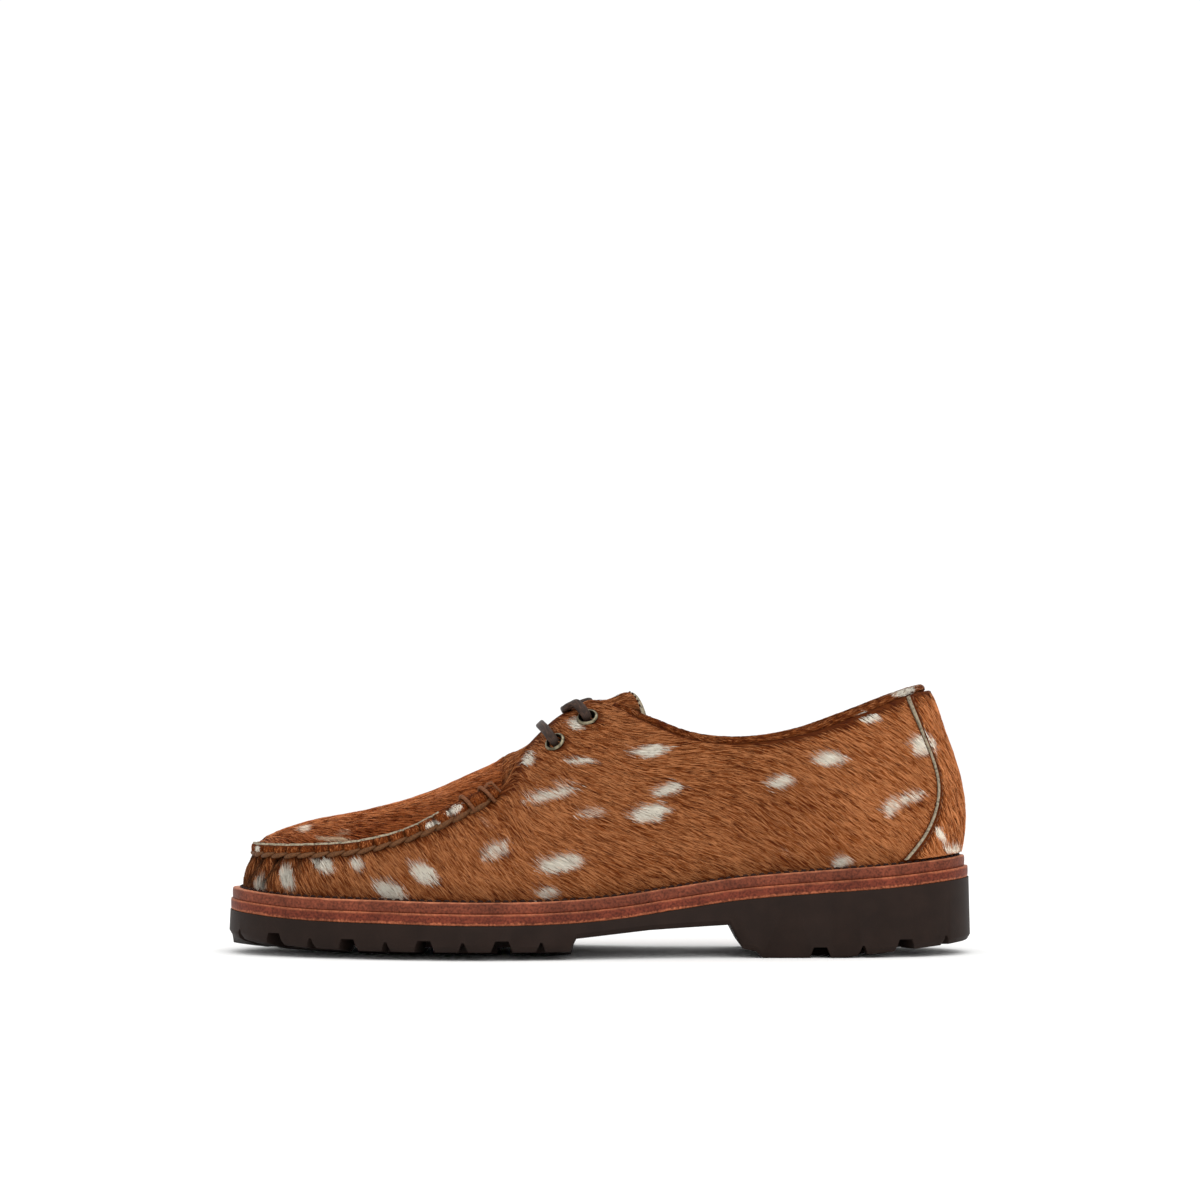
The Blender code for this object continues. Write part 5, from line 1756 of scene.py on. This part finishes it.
class SHOE_OT_eyelets(Operator):
    """Turn the four brass eyelets"""

    bl_idname = "shoe.eyelets"
    bl_label = "Eyelets"

    # The eyelet's section: radius and height over the hide
    SECTION = (
        (EYELET_HOLE_RADIUS, -UPPER_WALL - 0.4),
        (EYELET_HOLE_RADIUS, 0.0),
        (2.9, 0.5),
        (3.15, 0.9),
        (3.45, 1.15),
        (3.8, 1.15),
        (4.15, 0.9),
        (4.36, 0.55),
        (EYELET_FLANGE_RADIUS, 0.3),
        (EYELET_BARREL_RADIUS, 0.25),
        (EYELET_BARREL_RADIUS, -UPPER_WALL - 0.4),
    )
    # The hollow's dark brass, painted shade inside the eyelet, reaches to this radius
    DARK_REACH = 3.5

    def execute(self, context):
        colours = settings(context)[1]
        brass = antique_brass("antique_brass", colours.brass, 0.32)
        # The dark brass of the hollow is painted shade
        hollow = antique_brass("brass_in_painted_shade", colours.hollow, 0.6)
        for label, (centre, normal) in eyelet_places().items():
            bm = bmesh.new()
            corners = [bm.verts.new((radius * MM, 0.0, height * MM)) for radius, height in self.SECTION]
            for first, second in zip(corners, corners[1:] + corners[:1]):
                bm.edges.new((first, second))
            bmesh.ops.spin(
                bm,
                geom=bm.verts[:] + bm.edges[:],
                cent=(0, 0, 0),
                axis=(0, 0, 1),
                angle=2 * math.pi,
                steps=56,
                use_merge=True,
            )
            bmesh.ops.remove_doubles(bm, verts=bm.verts, dist=0.001 * MM)
            bmesh.ops.recalc_face_normals(bm, faces=bm.faces)
            for face in bm.faces:
                reach = max(math.hypot(vert.co.x, vert.co.y) for vert in face.verts)
                face.material_index = int(reach < self.DARK_REACH * MM)
            turn = Vector(normal).to_track_quat("Z", "Y").to_matrix().to_4x4()
            bm.transform(Matrix.Translation(Vector(centre) * MM) @ turn)
            eyelet = link_mesh("brass_eyelet_" + label, bm, (brass, hollow))
            eyelet.data.set_sharp_from_angle(angle=math.radians(50))
            finish_piece(eyelet, "antique_brass", "eyelet_" + label)
        return {"FINISHED"}


class SHOE_OT_laces(Operator):
    """Run the lace through the eyelets, as two bars over the throat"""

    bl_idname = "shoe.laces"
    bl_label = "Lace"

    # The lace's way from inside an eyelet to the facing's edge: share of the way there, height over the
    # hide and share of its rise; then share and height of the last point where it stands up on the inner
    # side, and how round its edges are
    WAY = ((0.0, -4.5, 0.0), (0.0, -1.0, 0.0), (0.1, 1.9, 0.2), (0.52, 2.7, 1.0))
    FAR_POINT = (-0.1, 3.0)
    CORNER = 0.8

    def execute(self, context):
        sizes, colours = settings(context)
        leather = lace_leather(colours)
        places = eyelet_places()
        for label, row, distance, bar_row, arch, edge_lift, middle_lift, far_lift in EYELET_PAIRS:
            ridge = unit(sum(wall_place(bar_row, side, 0.97)[1] for side in (LATERAL, MEDIAL)))
            arms = {}
            for side, name in ((LATERAL, "outer_"), (MEDIAL, "inner_")):
                centre, normal = places[name + label]
                edge = wall_place(bar_row, side, 1.0)[0]
                outwards = unit(wall_place(bar_row, side, 0.97)[1] + ridge)
                way = [(share, height, arch * part) for share, height, part in self.WAY]
                if side == MEDIAL and far_lift:
                    way[-1] = (*self.FAR_POINT, far_lift)
                arm = [centre + (edge - centre) * a + normal * b + UP * c for a, b, c in way]
                arms[side] = arm + [edge + outwards * edge_lift]
            middle = (wall_place(bar_row, LATERAL, 1.0)[0] + wall_place(bar_row, MEDIAL, 1.0)[0]) / 2
            route = arms[LATERAL] + [middle + ridge * middle_lift] + arms[MEDIAL][::-1]
            path = smooth_path(route, 90)
            beside = wall_place(bar_row + 0.2, LATERAL, 1.0)[0] - wall_place(bar_row - 0.2, LATERAL, 1.0)[0]
            ahead, aside, up = frames_along(path, np.broadcast_to(beside, path.shape))
            profile = round_profile(sizes.lace_width / MM, sizes.lace_thickness / MM, self.CORNER)
            bm = bmesh.new()
            add_grid(bm, swept(path, aside, up, profile), closed=True)
            lace = link_mesh("lace_" + label, bm, (leather,))
            finish_piece(lace, "lace_leather", "lace_bar_" + label)
        return {"FINISHED"}


class SHOE_OT_stage(Operator):
    """Set the pale floor, the soft studio light and the photograph's camera"""

    bl_idname = "shoe.stage"
    bl_label = "Stage"

    def execute(self, context):
        colours = settings(context)[1]
        scene = context.scene
        bm = bmesh.new()
        bmesh.ops.create_grid(bm, x_segments=1, y_segments=1, size=6.0)
        floor = link_mesh("studio_floor", bm, (pale_floor(colours),))
        camera = bpy.data.cameras.new("camera")
        camera.lens = CAMERA_LENS
        camera.sensor_width = CAMERA_SENSOR
        camera.shift_y = CAMERA_SHIFT
        viewer = bpy.data.objects.new("camera", camera)
        viewer.location = Vector(CAMERA_PLACE) * MM
        viewer.rotation_euler = (math.radians(90), 0, 0)
        scene.collection.objects.link(viewer)
        scene.camera = viewer
        scene.view_settings.view_transform = "Standard"
        for name, place, aim, size, power in (
            ("top_softbox", (0.1, -0.35, 1.3), (0.0, 0.0, 0.05), 1.3, 6.0),
            ("front_softbox", (0.45, -1.5, 0.8), (0.0, 0.0, 0.05), 1.2, 6.0),
        ):
            lamp = bpy.data.lights.new(name, "AREA")
            lamp.size = size
            lamp.energy = power
            light = bpy.data.objects.new(name, lamp)
            light.location = place
            light.rotation_euler = (Vector(aim) - Vector(place)).to_track_quat("-Z", "Y").to_euler()
            scene.collection.objects.link(light)
        world = bpy.data.worlds.new("studio")
        world.use_nodes = True
        world.node_tree.nodes["Background"].inputs["Color"].default_value = (1.0, 1.0, 1.0, 1.0)
        world.node_tree.nodes["Background"].inputs["Strength"].default_value = 1.05
        scene.world = world
        return {"FINISHED"}


class SHOE_PT_pieces(Panel):
    """The shoe's pieces and settings"""

    bl_idname = "SHOE_PT_pieces"
    bl_label = "Spotted calf shoe"
    bl_space_type = "VIEW_3D"
    bl_region_type = "UI"
    bl_category = "Shoe"

    def draw(self, context):
        for operator in OPERATORS:
            self.layout.operator(operator.bl_idname)
        for group in settings(context):
            for name in group.__annotations__:
                self.layout.prop(group, name)


OPERATORS = (
    SHOE_OT_stage,
    SHOE_OT_upper,
    SHOE_OT_coat,
    SHOE_OT_moc_seam,
    SHOE_OT_collar,
    SHOE_OT_heel_strip,
    SHOE_OT_tongue,
    SHOE_OT_sole_leather,
    SHOE_OT_outsole,
    SHOE_OT_eyelets,
    SHOE_OT_laces,
)
CLASSES = (ShoeSizes, ShoeColours, *OPERATORS, SHOE_PT_pieces)


def register():
    for cls in CLASSES:
        bpy.utils.register_class(cls)
    bpy.types.Scene.shoe_sizes = PointerProperty(type=ShoeSizes)
    bpy.types.Scene.shoe_colours = PointerProperty(type=ShoeColours)


def unregister():
    del bpy.types.Scene.shoe_colours
    del bpy.types.Scene.shoe_sizes
    for cls in reversed(CLASSES):
        bpy.utils.unregister_class(cls)


def main():
    """Builds the shoe piece by piece."""
    register()
    for operator in OPERATORS:
        group, name = operator.bl_idname.split(".")
        getattr(getattr(bpy.ops, group), name)()


if __name__ == "__main__":
    main()
